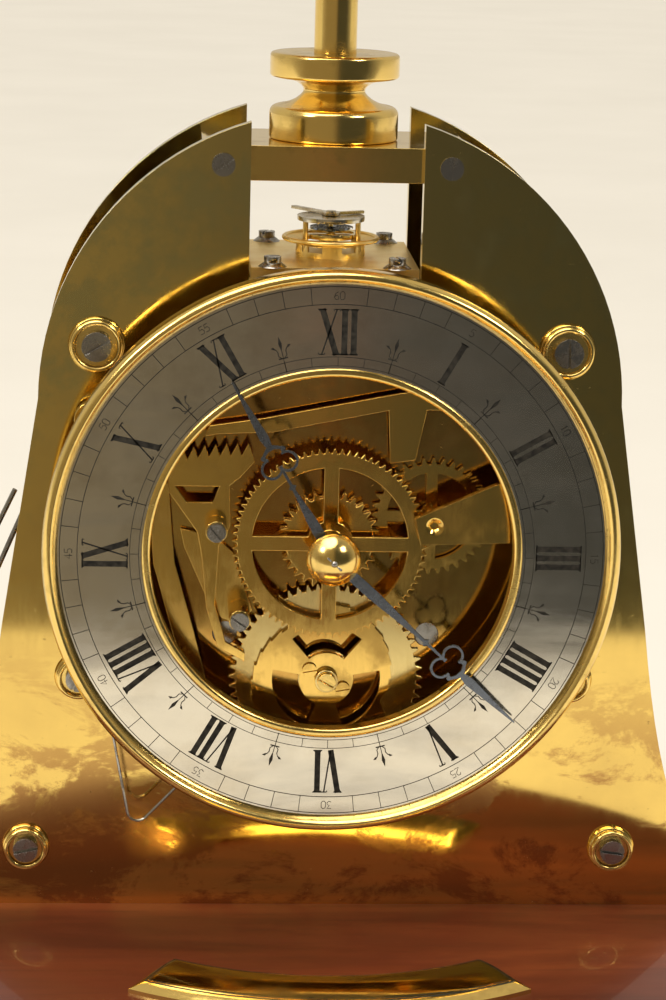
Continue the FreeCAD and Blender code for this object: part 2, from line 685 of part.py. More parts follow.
def heart(at, depth, thick):
    """Two open loops side by side, closed at the outer end by a crescent with small balls."""
    pieces = []
    gate = solid_of([bar_wire(at - 0.3, at + 4, HEART_OFFSET - 0.3)], depth, depth + thick)
    for side in (-1, 1):
        loop = rod(at, side * HEART_OFFSET, depth, depth + thick, HEART_RADIUS, HEART_RADIUS - HEART_WIRE)
        pieces.append(loop.cut(gate))
        pieces.append(rod(at + HEART_RADIUS + 0.5, side * 2.2, depth, depth + thick, 0.5))
        link = polygon_wire([(at + HEART_RADIUS - 0.55, side * 1.5), (at + HEART_RADIUS - 0.4, side * 2.0),
                             (at + HEART_RADIUS + 0.7, side * 2.5), (at + HEART_RADIUS + 0.9, side * 1.9)])
        pieces.append(solid_of([link], depth, depth + thick))
    crescent = polygon_wire([(at + HEART_RADIUS + 0.4, 2.2), (at + HEART_RADIUS + 1.0, 2.2),
                             (at + HEART_RADIUS + 2.0, 0.8), (at + HEART_RADIUS + 2.0, -0.8),
                             (at + HEART_RADIUS + 1.0, -2.2), (at + HEART_RADIUS + 0.4, -2.2),
                             (at + HEART_RADIUS + 1.2, -0.7), (at + HEART_RADIUS + 1.2, 0.7)])
    pieces.append(solid_of([crescent], depth, depth + thick))
    return pieces


def make_hand(label, reach, degrees, depth, bore, node, heart_at):
    """A leaf, a small node, an open heart and a blade, drawn along +x and turned to its hour."""
    thick = number("hand_thick")
    leaf = polygon_curve([(3.2, 0.9), (node * 0.46, 1.05), (node * 0.75, 0.62), (node, 0.28)])
    barb = polygon_wire([(node - 0.7, 0.0), (node + 0.2, 0.85), (node + 0.6, 0.3), (node + 0.6, -0.3),
                         (node + 0.2, -0.85)])
    neck = bar_wire(node, heart_at - 1.0, 0.27)
    blade = blade_wire(heart_at + HEART_RADIUS + 1.6, reach, 0.95)
    pieces = [solid_of([wire], depth, depth + thick) for wire in (leaf, barb, neck, blade)]
    pieces.append(rod(0, 0, depth, depth + thick, number("hand_hub")))
    pieces += heart(heart_at, depth, thick)
    hand = turn(joined(pieces), 0, 0, degrees).cut(rod(0, 0, depth, depth + thick, bore))
    shape_part(label, hand)


CANNON_OUTER, HOUR_PIPE_INNER, HOUR_PIPE_OUTER = 2.35, 2.40, 3.0
HOUR_HAND_FRONT, MINUTE_HAND_FRONT, PIPE_END = -1.6, -2.6, 4.7


def make_hands():
    make_hand("hour_hand", number("hour_hand_reach"), 90 + 30.4,
              HOUR_HAND_FRONT, HOUR_PIPE_OUTER, 16.5, 21.9)
    make_hand("minute_hand", number("minute_hand_reach"), 90 - 132.0,
              MINUTE_HAND_FRONT, CANNON_OUTER, 25.5, 31.6)
    radius, rise, seat = number("hand_hub") + 1.8, 2.8, -MINUTE_HAND_FRONT + 0.6
    ball = (radius ** 2 + rise ** 2) / (2 * rise)
    cap = Part.makeSphere(ball, Vector(0, 0, seat + rise - ball))
    cap = cap.common(Part.makeCylinder(radius + 1, rise + 1, Vector(0, 0, seat)))
    skirt = rod(0, 0, -seat, MINUTE_HAND_FRONT, radius)
    nib = rod(0, 0, -seat - rise - 0.8, -seat - rise + 0.4, 0.75)
    taper = Part.makeCone(0.2, 0.3, 3.6, Vector(-1.3, 1.2, seat + rise + 0.4), Vector(0.74, -0.67, 0))
    pipe_room = rod(0, 0, -PIPE_END - 0.05, MINUTE_HAND_FRONT, CANNON_OUTER)
    dome = joined([cap, skirt, nib, taper]).cut(pipe_room)
    shape_part("hand_collet", dome)


# ---------------------------------------------------------------- motion work

HOUR_FRONT, HOUR_BACK = 9.2, 10.4
CAM_FRONT, CAM_BACK = 10.9, 12.0
SNAIL_FRONT, SNAIL_BACK = 12.3, 13.5
CANNON_FRONT, CANNON_BACK = 14.1, 15.3


def make_motion_work():
    module, fine = number("motion_module"), number("hour_module")
    cannon_teeth, minute_teeth = SIZES["cannon_teeth"], SIZES["minute_teeth"]
    toward_minute = math.atan2(MINUTE_PLACE[1], MINUTE_PLACE[0])
    pipe = rod(0, 0, -PIPE_END, CANNON_BACK, CANNON_OUTER)
    cannon = toothed(cannon_teeth, module, 0, 0, CANNON_FRONT, CANNON_BACK, 0.0).fuse(pipe)
    cannon = cannon.cut(rod(0, 0, -PIPE_END, CANNON_BACK, number("arbor_radius") + number("running_gap")))
    shape_part("cannon_wheel", cannon.removeSplitter())
    minute_phase = mesh_phase(cannon_teeth, 0.0, minute_teeth, toward_minute)
    minute = crossed_wheel(minute_teeth, module, *MINUTE_PLACE, CANNON_FRONT, CANNON_BACK, minute_phase,
                           spoke=2.2, hub=2.6, rim=1.8)
    pinion_teeth, hour_teeth = SIZES["pinion_teeth"], SIZES["hour_teeth"]
    pinion = toothed(pinion_teeth, fine, *MINUTE_PLACE, HOUR_FRONT - 0.3, CANNON_FRONT, 0.0)
    staff = rod(*MINUTE_PLACE, 6.9, float(PLATE_BACK) - 0.2, PIVOT)
    shape_part("minute_wheel", joined([minute.fuse(pinion), staff]))
    hour_phase = mesh_phase(pinion_teeth, 0.0, hour_teeth, toward_minute + math.pi)
    hour = crossed_wheel(hour_teeth, fine, 0, 0, HOUR_FRONT, HOUR_BACK, hour_phase,
                         spoke=3.0, hub=4.8, rim=3.0)
    hub = rod(0, 0, HOUR_HAND_FRONT, SNAIL_BACK, HOUR_PIPE_OUTER)
    hub = hub.fuse(rod(0, 0, HOUR_BACK, SNAIL_FRONT, 4.2))
    driver = toothed(cannon_teeth, module, 0, 0, SNAIL_FRONT, SNAIL_BACK, 0.0)
    hour = joined([hour, hub, driver]).cut(rod(0, 0, HOUR_HAND_FRONT, SNAIL_BACK, HOUR_PIPE_INNER))
    shape_part("hour_wheel", hour)
    snail_phase = mesh_phase(cannon_teeth, 0.0, SIZES["snail_teeth"], -math.pi / 2)
    snail_wheel = toothed(SIZES["snail_teeth"], module, *SNAIL_PLACE,
                          SNAIL_FRONT, SNAIL_BACK, snail_phase, 2.4)
    for index in range(3):
        middle = 90 + 120 * index
        window = spoke_window(*SNAIL_PLACE, 5.8, 11.6, middle - 42, middle + 42)
        snail_wheel = snail_wheel.cut(solid_of([window], SNAIL_FRONT, SNAIL_BACK))
    make_snail(snail_wheel)


def snail_outline():
    """Three lobes, each a falling run of eight steps, with a deep notch before the next."""
    radius = number("snail_radius")
    points = []
    for lobe in range(3):
        for step in range(8):
            reach = radius - 0.42 * step
            for share in (0.0, 1.0):
                degrees = 205.0 - lobe * 120 - (step + share) * 12.0
                spot = around(SNAIL_PLACE, reach, degrees)
                points.append(spot)
        notch = 205.0 - lobe * 120 - 106
        points.append(around(SNAIL_PLACE, radius - 3.9, notch))
    return polygon_wire(points)


def make_snail(snail_wheel):
    wires = [snail_outline(), circle_wire(*SNAIL_PLACE, 2.4)]
    wires += [circle_wire(*around(SNAIL_PLACE, 4.0, degrees), 0.8) for degrees in (150, 330)]
    for index in range(3):
        middle = 90 + 120 * index
        wires.append(spoke_window(*SNAIL_PLACE, 5.6, 11.2, middle - 40, middle + 40))
    cam = solid_of(wires, CAM_FRONT, CAM_BACK)
    collet = rod(*SNAIL_PLACE, CAM_FRONT - 1.6, SNAIL_BACK, 2.4, 1.3)
    collet = collet.fuse(rod(*SNAIL_PLACE, CAM_BACK, SNAIL_FRONT, 5.4, 1.3))
    for degrees in (150, 330):
        collet = collet.cut(rod(*around(SNAIL_PLACE, 4.0, degrees), CAM_BACK, SNAIL_FRONT, 0.8))
    shape_part("snail_wheel", joined([snail_wheel, collet]))
    screws = [slotted_screw(*around(SNAIL_PLACE, 4.0, degrees), CAM_FRONT, 1.5, 0.7, 0.8, 1.1, degrees + 40)
              for degrees in (150, 330)]
    shape_part("snail_cam", Part.makeCompound([cam] + screws))
    stud = rod(*SNAIL_PLACE, CAM_FRONT - 1.7, float(PLATE_FRONT), 1.25)
    stud = stud.fuse(slotted_head(*SNAIL_PLACE, CAM_FRONT - 1.7, 1.9, 0.9, -30))
    stud = stud.fuse(rod(*SNAIL_PLACE, 14.0, float(PLATE_FRONT), 2.4))
    stud = stud.fuse(rod(*SNAIL_PLACE, float(PLATE_FRONT), float(PLATE_BACK) - 0.3, 1.2))
    STUDS.append(stud.removeSplitter())


# ---------------------------------------------------------------- levers on the front plate

RACK_FRONT, RACK_BACK = 10.9, 12.0
HOOK_FRONT, HOOK_BACK = 12.6, 13.7
LIFT_FRONT, LIFT_BACK = 14.3, 15.4
REPEAT_FRONT, REPEAT_BACK = 8.4, 9.5
STUD_FRONT = 5.6


def make_studs():
    faces = {"rack": (RACK_STUD, RACK_FRONT, RACK_BACK), "lift": (LIFT_STUD, LIFT_FRONT, LIFT_BACK),
             "hook": (HOOK_STUD, HOOK_FRONT, HOOK_BACK)}
    gap = number("running_gap")
    radius = number("stud_radius")
    for (x, y), front, back in faces.values():
        pin = 1.3
        stud = rod(x, y, STUD_FRONT, front - gap * 2, radius, 0.7)
        stud = stud.fuse(rod(x, y, front - gap * 2, back + gap * 2, pin, 0.7))
        stud = stud.fuse(rod(x, y, back + gap * 2, float(PLATE_FRONT), radius, 0.7))
        stud = stud.fuse(rod(x, y, float(PLATE_FRONT), float(PLATE_BACK), 0.9, 0.7))
        STUDS.append(stud.removeSplitter())
        PLATE_SCREWS.append(slotted_screw(x, y, STUD_FRONT, 1.9, 1.0, 0.7, 9.0, 20.0 + 3 * x))
    shape_part("front_studs", Part.makeCompound(STUDS))


def rack_outline():
    """Saw teeth along the top, a web down to the pivot and a tail that reads the snail."""
    points = [(-15.6, 16.6), (-16.4, 19.2)]
    pitch, count = 2.2, 8
    for index in range(count):
        right = -16.6 - index * pitch
        drop = 0.035 * index ** 2
        points += [(right - 0.3, 20.4 - drop), (right - 1.7, 17.8 - drop)]
    points += [(-35.4, 18.6), (-37.0, 14.6), (-33.8, 11.4), (-27.0, 1.8)]
    points += [(-26.0, -3.5), (-25.0, -14.0), (-22.5, -22.6), (-16.9, -25.6), (-16.9, -23.8)]
    points += [(-20.9, -21.4), (-23.2, -13.5), (-22.6, -1.0), (-20.3, 3.0), (-20.6, 11.6), (-18.6, 13.2)]
    return polygon_wire(points)


def make_levers():
    gap = number("running_gap")
    bore = 1.3 + gap
    window = polygon_wire([(-31.6, 11.4), (-29.2, 8.0), (-24.0, 8.0), (-22.6, 11.4)])
    slab("rack", [rack_outline(), window, circle_wire(*RACK_STUD, bore)], size("lever_thick"), RACK_FRONT)
    hook_x, hook_y = HOOK_STUD
    hook = polygon_wire([(hook_x + 3.0, hook_y - 2.0), (hook_x + 3.0, hook_y + 2.4), (hook_x, hook_y + 3.2),
                         (13.8, 30.8), (-14.2, 25.2), (-24.8, 23.6), (-25.6, 21.4), (-23.2, 21.9),
                         (-12.0, 22.4), (11.4, 27.2), (12.0, 16.2), (17.2, 17.0), (19.2, 27.4)])
    slab("rack_hook", [hook, circle_wire(*HOOK_STUD, bore)], size("lever_thick"), HOOK_FRONT)
    lift = polygon_wire([(-15.4, -15.6), (-16.4, -12.8), (-19.6, -3.2), (-21.5, -1.6), (-24.4, 0.4),
                         (-30.4, 1.6), (-29.6, -2.2), (-24.2, -14.6), (-21.6, -17.4), (-18.2, -18.4)])
    lift_hole = circle_wire(*LIFT_STUD, bore)
    body = solid_of([lift, lift_hole], LIFT_FRONT, LIFT_BACK)
    body = body.cut(rod(*RACK_STUD, LIFT_FRONT, LIFT_BACK, number("stud_radius") + 1.4))
    shape_part("lifting_lever", body)
    repeat = polygon_wire([(-54.6, 9.4), (-54.6, 12.6), (-50.4, 14.2),
                           (-38.6, 16.2), (-35.8, 15.0), (-33.0, 12.4),
                           (-31.6, -4.0), (-27.6, -18.0), (-24.8, -29.2), (-27.6, -30.4), (-31.6, -19.4),
                           (-35.8, -4.4), (-36.8, 9.4), (-40.4, 10.6), (-50.4, 7.8)])
    slab("repeat_lever", [repeat, circle_wire(*WIRE_ARBOR, 1.0)], size("lever_thick"), REPEAT_FRONT)


def make_cock():
    """The bridge over the minute wheel: a sheet in front and a foot on the plate."""
    sheet_front, sheet_back = 5.6, 7.4
    face = polygon_wire([(16.9, 6.4), (33.2, 13.7), (38.0, 15.6), (43.4, 14.0),
                         (44.2, 2.2), (36.8, 1.6), (18.1, 1.0)])
    foot = polygon_wire([(37.6, 15.3), (43.2, 13.8), (44.0, 2.4), (38.4, 1.9)])
    cock = solid_of([face], sheet_front, sheet_back).fuse(solid_of([foot], sheet_back, float(PLATE_FRONT)))
    cock = cock.cut(rod(*MINUTE_PLACE, sheet_front, sheet_back, PIVOT_HOLE))
    sink = Part.makeCone(1.9, PIVOT_HOLE, 0.7, Vector(MINUTE_PLACE[0], MINUTE_PLACE[1], -sheet_front),
                         Vector(0, 0, -1))
    cock = cock.cut(sink)
    for x, y in COCK_SCREWS:
        cock = cock.cut(rod(x, y, sheet_front, float(PLATE_FRONT), 0.9))
    shape_part("minute_cock", cock.removeSplitter())
    for x, y in COCK_SCREWS:
        PLATE_SCREWS.append(slotted_screw(x, y, sheet_front, 1.7, 0.9, 0.9, 12.0, 40 + 7 * x))


def wire_path(points, radius, bend):
    """A round wire along straight runs joined by tangent arcs."""
    edges, start = [], points[0]
    for before, corner, after in zip(points, points[1:], points[2:]):
        into, out = (corner - before).normalize(), (after - corner).normalize()
        half = into.getAngle(out) / 2
        cut = bend * math.tan(half)
        first, last = corner - into * cut, corner + out * cut
        towards = (out - into).normalize()
        middle = corner + towards * (bend / math.cos(half) - bend)
        edges += [Part.LineSegment(start, first).toShape(), Part.Arc(first, middle, last).toShape()]
        start = last
    edges.append(Part.LineSegment(start, points[-1]).toShape())
    path = Part.Wire(edges)
    along = (points[1] - points[0]).normalize()
    section = Part.Wire([Part.makeCircle(radius, points[0], along)])
    return path.makePipeShell([section], True, True)


def make_wires():
    depth, seat = -9.0, -float(PLATE_FRONT)
    route = [(-45.2, -33.0, seat), (-45.2, -33.0, depth), (-39.9, -62.2, depth), (-27.4, -48.8, depth),
             (-27.4, -48.8, seat)]
    shape_part("wire_spring", wire_path([Vector(*spot) for spot in route], 0.30, 2.2))
    middle = -float(MID_DEPTH)
    x, y = WIRE_ARBOR
    hub = rod(x, y, float(MID_DEPTH) - 3, float(MID_DEPTH) + 3, 2.6)
    staff = rod(x, y, REPEAT_FRONT - 0.4, float(REAR_BACK) - 0.2, 1.0)
    bends = [(x + 1.0, y - 1.0), (-61.4, 4.6), (-66.6, -7.6), (-74.6, -26.0),
             (-78.6, -27.0), (-71.6, -9.0), (-65.2, 4.4)]
    loop = wire_path([Vector(*bend, middle) for bend in bends], 0.55, 1.4)
    shape_part("repeat_wire", joined([hub, staff, loop]))


# ---------------------------------------------------------------- going train

def make_barrel(prefix, place, great_front, drum_front, drum_back):
    """A great wheel with its spring drum, and the squared arbor and ratchet that wind it."""
    x, y = place
    teeth, module = SIZES["great_teeth"], number("great_module")
    gap = number("running_gap")
    great_back = great_front + 2.0
    wheel = toothed(teeth, module, x, y, great_front, great_back)
    drum = rod(x, y, drum_front, drum_back, number("drum_radius"))
    hollow = rod(x, y, drum_front + 1.2, drum_back - 1.2, number("drum_radius") - 1.6)
    spacer = rod(x, y, min(great_back, drum_back), max(great_front, drum_front), 8.0)
    bore = rod(x, y, great_front - 30, drum_back + 30, 2.5 + gap)
    barrel = joined([wheel, drum.cut(hollow), spacer]).cut(bore)
    shape_part(prefix + "_barrel", barrel)
    core = rod(x, y, drum_front + 1.4, drum_back - 1.4, 5.2, 2.5 + gap)
    coil = mainspring(x, y, drum_front + 2.2, drum_back - 2.2)
    shape_part(prefix + "_mainspring", joined([coil, core]))
    front_end, back_end = float(PLATE_FRONT) + 0.3, float(REAR_BACK) + 9.0
    arbor = rod(x, y, front_end, float(REAR_BACK) + 3.6, 2.5)
    square = Part.makeBox(3.4, 3.4, 5.4, Vector(x - 1.7, y - 1.7, -back_end))
    way = 1 if x < 0 else -1
    ratchet = ratchet_wheel(x, y, float(REAR_BACK) + 0.6, float(REAR_BACK) + 0.6 + RATCHET_THICK, way)
    shape_part(prefix + "_winding_arbor", joined([arbor, square, ratchet]))


def mainspring(x, y, front, back):
    """The coiled spring: a spiral strip of thick turns."""
    inner, pitch, turns, thick = 5.2, 1.9, 6, 0.7
    outer_edge, inner_edge = [], []
    steps = turns * 16
    for index in range(steps + 1):
        angle = 2 * math.pi * index / 16
        radius = inner + pitch * index / 16
        outer_edge.append((x + (radius + thick) * math.cos(angle), y + (radius + thick) * math.sin(angle)))
        inner_edge.append((x + radius * math.cos(angle), y + radius * math.sin(angle)))
    return solid_of([polygon_wire(outer_edge + inner_edge[::-1])], front, back)


RATCHET_TEETH, RATCHET_TIP, RATCHET_ROOT, RATCHET_THICK = 24, 9.4, 8.2, 1.6


def ratchet_wheel(x, y, front, back, way):
    """Saw teeth whose steep sides face the click; way is 1 or -1 for the two hands."""
    points = []
    for index in range(RATCHET_TEETH):
        angle = way * 2 * math.pi * index / RATCHET_TEETH
        late = angle + way * 2 * math.pi / RATCHET_TEETH * 0.94
        points.append((x + RATCHET_ROOT * math.cos(angle), y + RATCHET_ROOT * math.sin(angle)))
        points.append((x + RATCHET_TIP * math.cos(late), y + RATCHET_TIP * math.sin(late)))
    return solid_of([polygon_wire(points)], front, back)


def make_clicks():
    lift = 0.6
    front, back = float(REAR_BACK) + lift, float(REAR_BACK) + RATCHET_THICK + lift
    gap = number("running_gap")
    barrels = (("going", GOING_BARREL, -1), ("strike", STRIKE_BARREL, 1))
    for (prefix, place, side), (screw_x, screw_y) in zip(barrels, click_screw_places()):
        x, y = place
        nose = around(place, RATCHET_TIP + 0.25, 90 - side * 2.0)
        arm = polygon_wire([(screw_x + side * 2.2, screw_y - 1.6), (screw_x + side * 2.0, screw_y + 2.0),
                            (x + side * 4.0, y + 12.8), nose, (x + side * 5.2, y + 10.4)])
        click = solid_of([arm], front, back).fuse(rod(screw_x, screw_y, front, back, 2.3))
        click = click.cut(rod(screw_x, screw_y, front, back, CLICK_SCREW + gap))
        shape_part(prefix + "_click", click.removeSplitter())
        seat = back - float(REAR_BACK) + 2 * gap
        screw = slotted_screw(screw_x, screw_y, -seat, 1.9, 0.9, CLICK_SCREW, seat + 2.0, 30)
        screw = screw.mirror(Vector(), Vector(0, 0, 1))
        screw.translate(Vector(0, 0, -float(REAR_BACK)))
        collar = rod(screw_x, screw_y, float(REAR_BACK), front - 2 * gap, 1.9)
        PLATE_SCREWS.append(joined([screw, collar]))


def make_going_train():
    pinion = SIZES["train_pinion"]
    centre_teeth, third_teeth = SIZES["centre_teeth"], SIZES["third_teeth"]
    third, fourth = train_places()["third"], train_places()["fourth"]
    centre_module = math.hypot(*third) / ((centre_teeth + pinion) / 2)
    third_module = math.hypot(third[0] - fourth[0], third[1] - fourth[1]) / ((third_teeth + pinion) / 2)
    great_module = number("great_module")
    great_pinion = SIZES["great_pinion"]
    make_barrel("going", GOING_BARREL, 46.0, 27.0, 45.0)
    centre_phase = mesh_phase(SIZES["great_teeth"], 0.0, great_pinion, math.radians(45))
    leaves = toothed(great_pinion, great_module, 0, 0, 44.6, 48.8, centre_phase)
    arbor = rod(0, 0, -PIPE_END + 0.1, float(REAR_BACK) - 0.2, number("arbor_radius"))
    shoulder = rod(0, 0, float(PLATE_BACK) + 0.3, 44.6, number("arbor_radius") + 0.6)
    wheel = crossed_wheel(centre_teeth, centre_module, 0, 0, 49.2, 50.4, 0.0)
    shape_part("centre_wheel", joined([arbor, shoulder, leaves, wheel]))
    toward_third = math.atan2(third[1], third[0])
    third_phase = mesh_phase(centre_teeth, 0.0, pinion, toward_third)
    leaves = toothed(pinion, centre_module, *third, 48.8, 50.8, third_phase)
    wheel = crossed_wheel(third_teeth, third_module, *third, 43.3, 44.3, 0.0)
    shape_part("third_wheel", joined([pivoted(*third, number("train_arbor"), PIVOT), leaves, wheel]))
    toward_fourth = math.atan2(fourth[1] - third[1], fourth[0] - third[0])
    fourth_phase = mesh_phase(third_teeth, 0.0, pinion, toward_fourth)
    leaves = toothed(pinion, third_module, *fourth, 42.6, 45.0, fourth_phase)
    crown = crown_wheel(*fourth)
    shape_part("contrate_wheel", joined([pivoted(*fourth, number("train_arbor"), PIVOT), leaves, crown]))


CROWN_TIP_DEPTH, CROWN_ROOT_DEPTH, CROWN_BACK_DEPTH = 25.25, 26.2, 28.4


def crown_wheel(x, y):
    """The contrate wheel: a thin cup whose rim is cut into teeth that point forwards."""
    radius, teeth = number("contrate_radius"), SIZES["crown_teeth"]
    outer, inner = radius + 0.7, radius - 0.7
    rim = rod(x, y, CROWN_TIP_DEPTH, CROWN_BACK_DEPTH, outer, inner)
    step = 360.0 / teeth
    cutters = []
    for index in range(teeth):
        half = radius * math.radians(step) * 0.36
        top = radius * math.radians(step) * 0.46
        low, high = -CROWN_ROOT_DEPTH, -CROWN_TIP_DEPTH + 0.2
        foot = y + inner - 1
        profile = Part.makePolygon([Vector(x - half, foot, low), Vector(x + half, foot, low),
                                    Vector(x + top, foot, high), Vector(x - top, foot, high),
                                    Vector(x - half, foot, low)])
        cutter = Part.Face(profile).extrude(Vector(0, outer - inner + 2, 0))
        cutters.append(turn(cutter, x, y, index * step))
    rim = rim.cut(Part.makeCompound(cutters))
    web = rod(x, y, CROWN_BACK_DEPTH - 1.2, CROWN_BACK_DEPTH, inner + 0.1)
    for index in range(4):
        window = spoke_window(x, y, 3.4, inner - 2.0, 45 + 90 * index - 36, 45 + 90 * index + 36)
        web = web.cut(solid_of([window], CROWN_BACK_DEPTH - 1.2, CROWN_BACK_DEPTH))
    return joined([rim, web])


# ---------------------------------------------------------------- strike train

def make_strike_train():
    great_module, pin_module = number("great_module"), number("pin_module")
    warning_module = number("warning_module")
    great_pinion, small = SIZES["great_pinion"], SIZES["fly_pinion"]
    make_barrel("strike", STRIKE_BARREL, 21.0, 24.5, 43.0)
    phase = mesh_phase(SIZES["great_teeth"], 0.0, great_pinion, math.radians(50))
    leaves = toothed(great_pinion, great_module, *PIN_PLACE, 20.2, 23.8, phase)
    wheel = crossed_wheel(SIZES["pin_teeth"], pin_module, *PIN_PLACE, 46.8, 48.0, 0.0)
    pins = [rod(*around(PIN_PLACE, 15.9, 45 * index + 22.5), 44.6, 47.0, 0.55) for index in range(8)]
    arbor = pivoted(*PIN_PLACE, number("train_arbor"), PIVOT)
    shape_part("pin_wheel", joined([arbor, leaves, wheel] + pins))
    phase = mesh_phase(SIZES["pin_teeth"], 0.0, small, math.radians(104))
    leaves = toothed(small, pin_module, *WARNING_PLACE, 46.2, 48.6, phase)
    wheel = crossed_wheel(SIZES["warning_teeth"], warning_module, *WARNING_PLACE, 30.0, 31.2, 0.0,
                          hub=2.6, rim=1.8)
    arbor = pivoted(*WARNING_PLACE, number("train_arbor"), PIVOT)
    shape_part("warning_wheel", joined([arbor, leaves, wheel]))
    phase = mesh_phase(SIZES["warning_teeth"], 0.0, small, math.radians(98))
    leaves = toothed(small, warning_module, *FLY_PLACE, 29.4, 31.8, phase)
    x, y = FLY_PLACE
    vane = Part.makeBox(16.4, 0.5, 13.0, Vector(x - 8.2, y - 0.25, -47.5))
    boss = rod(x, y, 35.0, 47.0, 1.7)
    shape_part("fly", joined([pivoted(x, y, 0.8, PIVOT), leaves, turn(vane, x, y, 28), boss]))


# ---------------------------------------------------------------- platform escapement

def platform_cylinder(x, depth, low, high, radius, inner=0.0):
    """An upright round piece on the platform, between two heights above the dial's middle."""
    spot = Vector(x, low, -depth)
    whole = Part.makeCylinder(radius, high - low, spot, Vector(0, 1, 0))
    if inner > 0:
        whole = whole.cut(Part.makeCylinder(inner, high - low, spot, Vector(0, 1, 0)))
    return whole


def make_platform():
    half = number("platform_half")
    low = number("notch_floor")
    high = low + number("platform_thick")
    front, back = float(PLATE_FRONT), float(REAR_BACK)
    balance_depth = float(MID_DEPTH)
    fork_depth, escape_depth = 29.6, 24.0
    escape_x = number("fourth_x")
    board = Part.makeBox(2 * half, high - low, back - front, Vector(-half, low, -back))
    screw_spots = [(side * 12.6, depth) for side in (-1, 1) for depth in
                   (front + number("plate_thick") / 2, back - number("plate_thick") / 2)]
    holes = [platform_cylinder(x, depth, low, high, 0.85) for x, depth in screw_spots]
    holes.append(platform_cylinder(0, balance_depth, low, high, 1.6))
    for x, depth in ((0.0, fork_depth), (escape_x, escape_depth)):
        holes.append(platform_cylinder(x, depth, low, low + 1.2, 0.45))
    board = board.cut(Part.makeCompound(holes))
    shape_part("platform_plate", board)
    screws = []
    for index, (x, depth) in enumerate(screw_spots):
        screws.append(Part.makeCone(2.9, 1.9, 0.8, Vector(x, high, -depth), Vector(0, 1, 0)).cut(
            platform_cylinder(x, depth, high, high + 0.8, 0.85)))
        head = platform_cylinder(x, depth, high + 0.8, high + 2.1, 1.75)
        slot = Part.makeBox(4.4, 0.8, 0.5, Vector(x - 2.2, high + 1.5, -depth - 0.25))
        slot.rotate(Vector(x, 0, -depth), Vector(0, 1, 0), 25 + 40 * index)
        screws.append(joined([head.cut(slot), platform_cylinder(x, depth, low, high + 0.8, 0.85)]))
    shape_part("platform_screws", Part.makeCompound(screws))
    make_balance(balance_depth, low, high)
    make_escapement(balance_depth, fork_depth, escape_depth, escape_x, low)


COCK_POST, COCK_POST_CIRCLE = 0.55, 6.6


def make_balance(depth, low, high):
    """The dish, the balance that swings inside it, its spring, the cock and the index."""
    rim = number("dish_radius")
    dish = platform_cylinder(0, depth, high, high + 1.0, 7.2, 1.6)
    wall = platform_cylinder(0, depth, high + 1.0, high + 2.6, 7.2, 6.5)
    flare = Part.makeCone(7.2, rim, 1.2, Vector(0, high + 2.4, -depth), Vector(0, 1, 0)).cut(
        Part.makeCone(6.5, rim - 0.7, 1.2, Vector(0, high + 2.4, -depth), Vector(0, 1, 0)))
    lip = Part.makeTorus(rim - 0.5, 0.5, Vector(0, high + 3.5, -depth), Vector(0, 1, 0))
    windows = []
    for index in range(6):
        window = Part.makeBox(3.4, 1.2, 4.0, Vector(-1.7, high + 1.1, -depth + 5.5))
        window.rotate(Vector(0, 0, -depth), Vector(0, 1, 0), 60 * index + 30)
        windows.append(window)
    cock_low = high + number("cock_rise")
    post_spots = []
    for angle in (math.radians(35), math.radians(145), math.radians(270)):
        post_spots.append((COCK_POST_CIRCLE * math.cos(angle), depth - COCK_POST_CIRCLE * math.sin(angle)))
    posts = [platform_cylinder(*spot, high + 1.0, cock_low, COCK_POST) for spot in post_spots]
    room = [platform_cylinder(*spot, high + 1.0, cock_low, COCK_POST + 0.1) for spot in post_spots]
    pierced = wall.fuse(flare).fuse(lip).cut(Part.makeCompound(windows + room))
    shape_part("balance_dish", joined([dish, pierced]))
    radius = number("balance_radius")
    wheel_low = high + 3.6
    wheel = platform_cylinder(0, depth, wheel_low, wheel_low + 1.0, radius, radius - 0.9)
    arm = Part.makeBox(2 * radius - 1, 0.6, 1.3, Vector(-radius + 0.5, wheel_low + 0.1, -depth - 0.65))
    staff = platform_cylinder(0, depth, low - 8.2, cock_low + 0.3, 0.45)
    hub = platform_cylinder(0, depth, low - 1.5, wheel_low + 1.2, 0.95)
    roller = platform_cylinder(0, depth, low - 2.6, low - 1.5, 2.0)
    impulse_pin = platform_cylinder(0, depth - 1.2, low - 4.6, low - 2.4, 0.2)
    shape_part("balance_wheel", joined([wheel, arm, staff, hub, roller, impulse_pin]))
    spring = hairspring(depth, cock_low - 1.8, cock_low - 1.4)
    shape_part("hairspring", spring)
    disc = platform_cylinder(0, depth, cock_low, cock_low + 0.9, 7.0, 0.5)
    lever = Part.makeBox(12.0, 0.6, 1.3, Vector(0, cock_low + 1.0, -depth - 0.65))
    eye = platform_cylinder(0, depth, cock_low + 1.0, cock_low + 1.6, 1.9)
    tail = Part.makeBox(7.6, 0.6, 1.0, Vector(-7.6, cock_low + 1.0, -depth - 0.5))
    lever.rotate(Vector(0, 0, -depth), Vector(0, 1, 0), 128)
    tail.rotate(Vector(0, 0, -depth), Vector(0, 1, 0), 205)
    cap = platform_cylinder(0, depth, cock_low + 0.9, cock_low + 1.9, 1.0)
    cap = cap.cut(platform_cylinder(0, depth, cock_low + 0.9, cock_low + 1.0, 0.5))
    cap_room = platform_cylinder(0, depth, cock_low + 0.9, cock_low + 2.0, 1.05)
    index = joined([eye, lever, tail]).cut(cap_room)
    shape_part("balance_cock", joined([disc, cap] + posts))
    shape_part("index_lever", index)


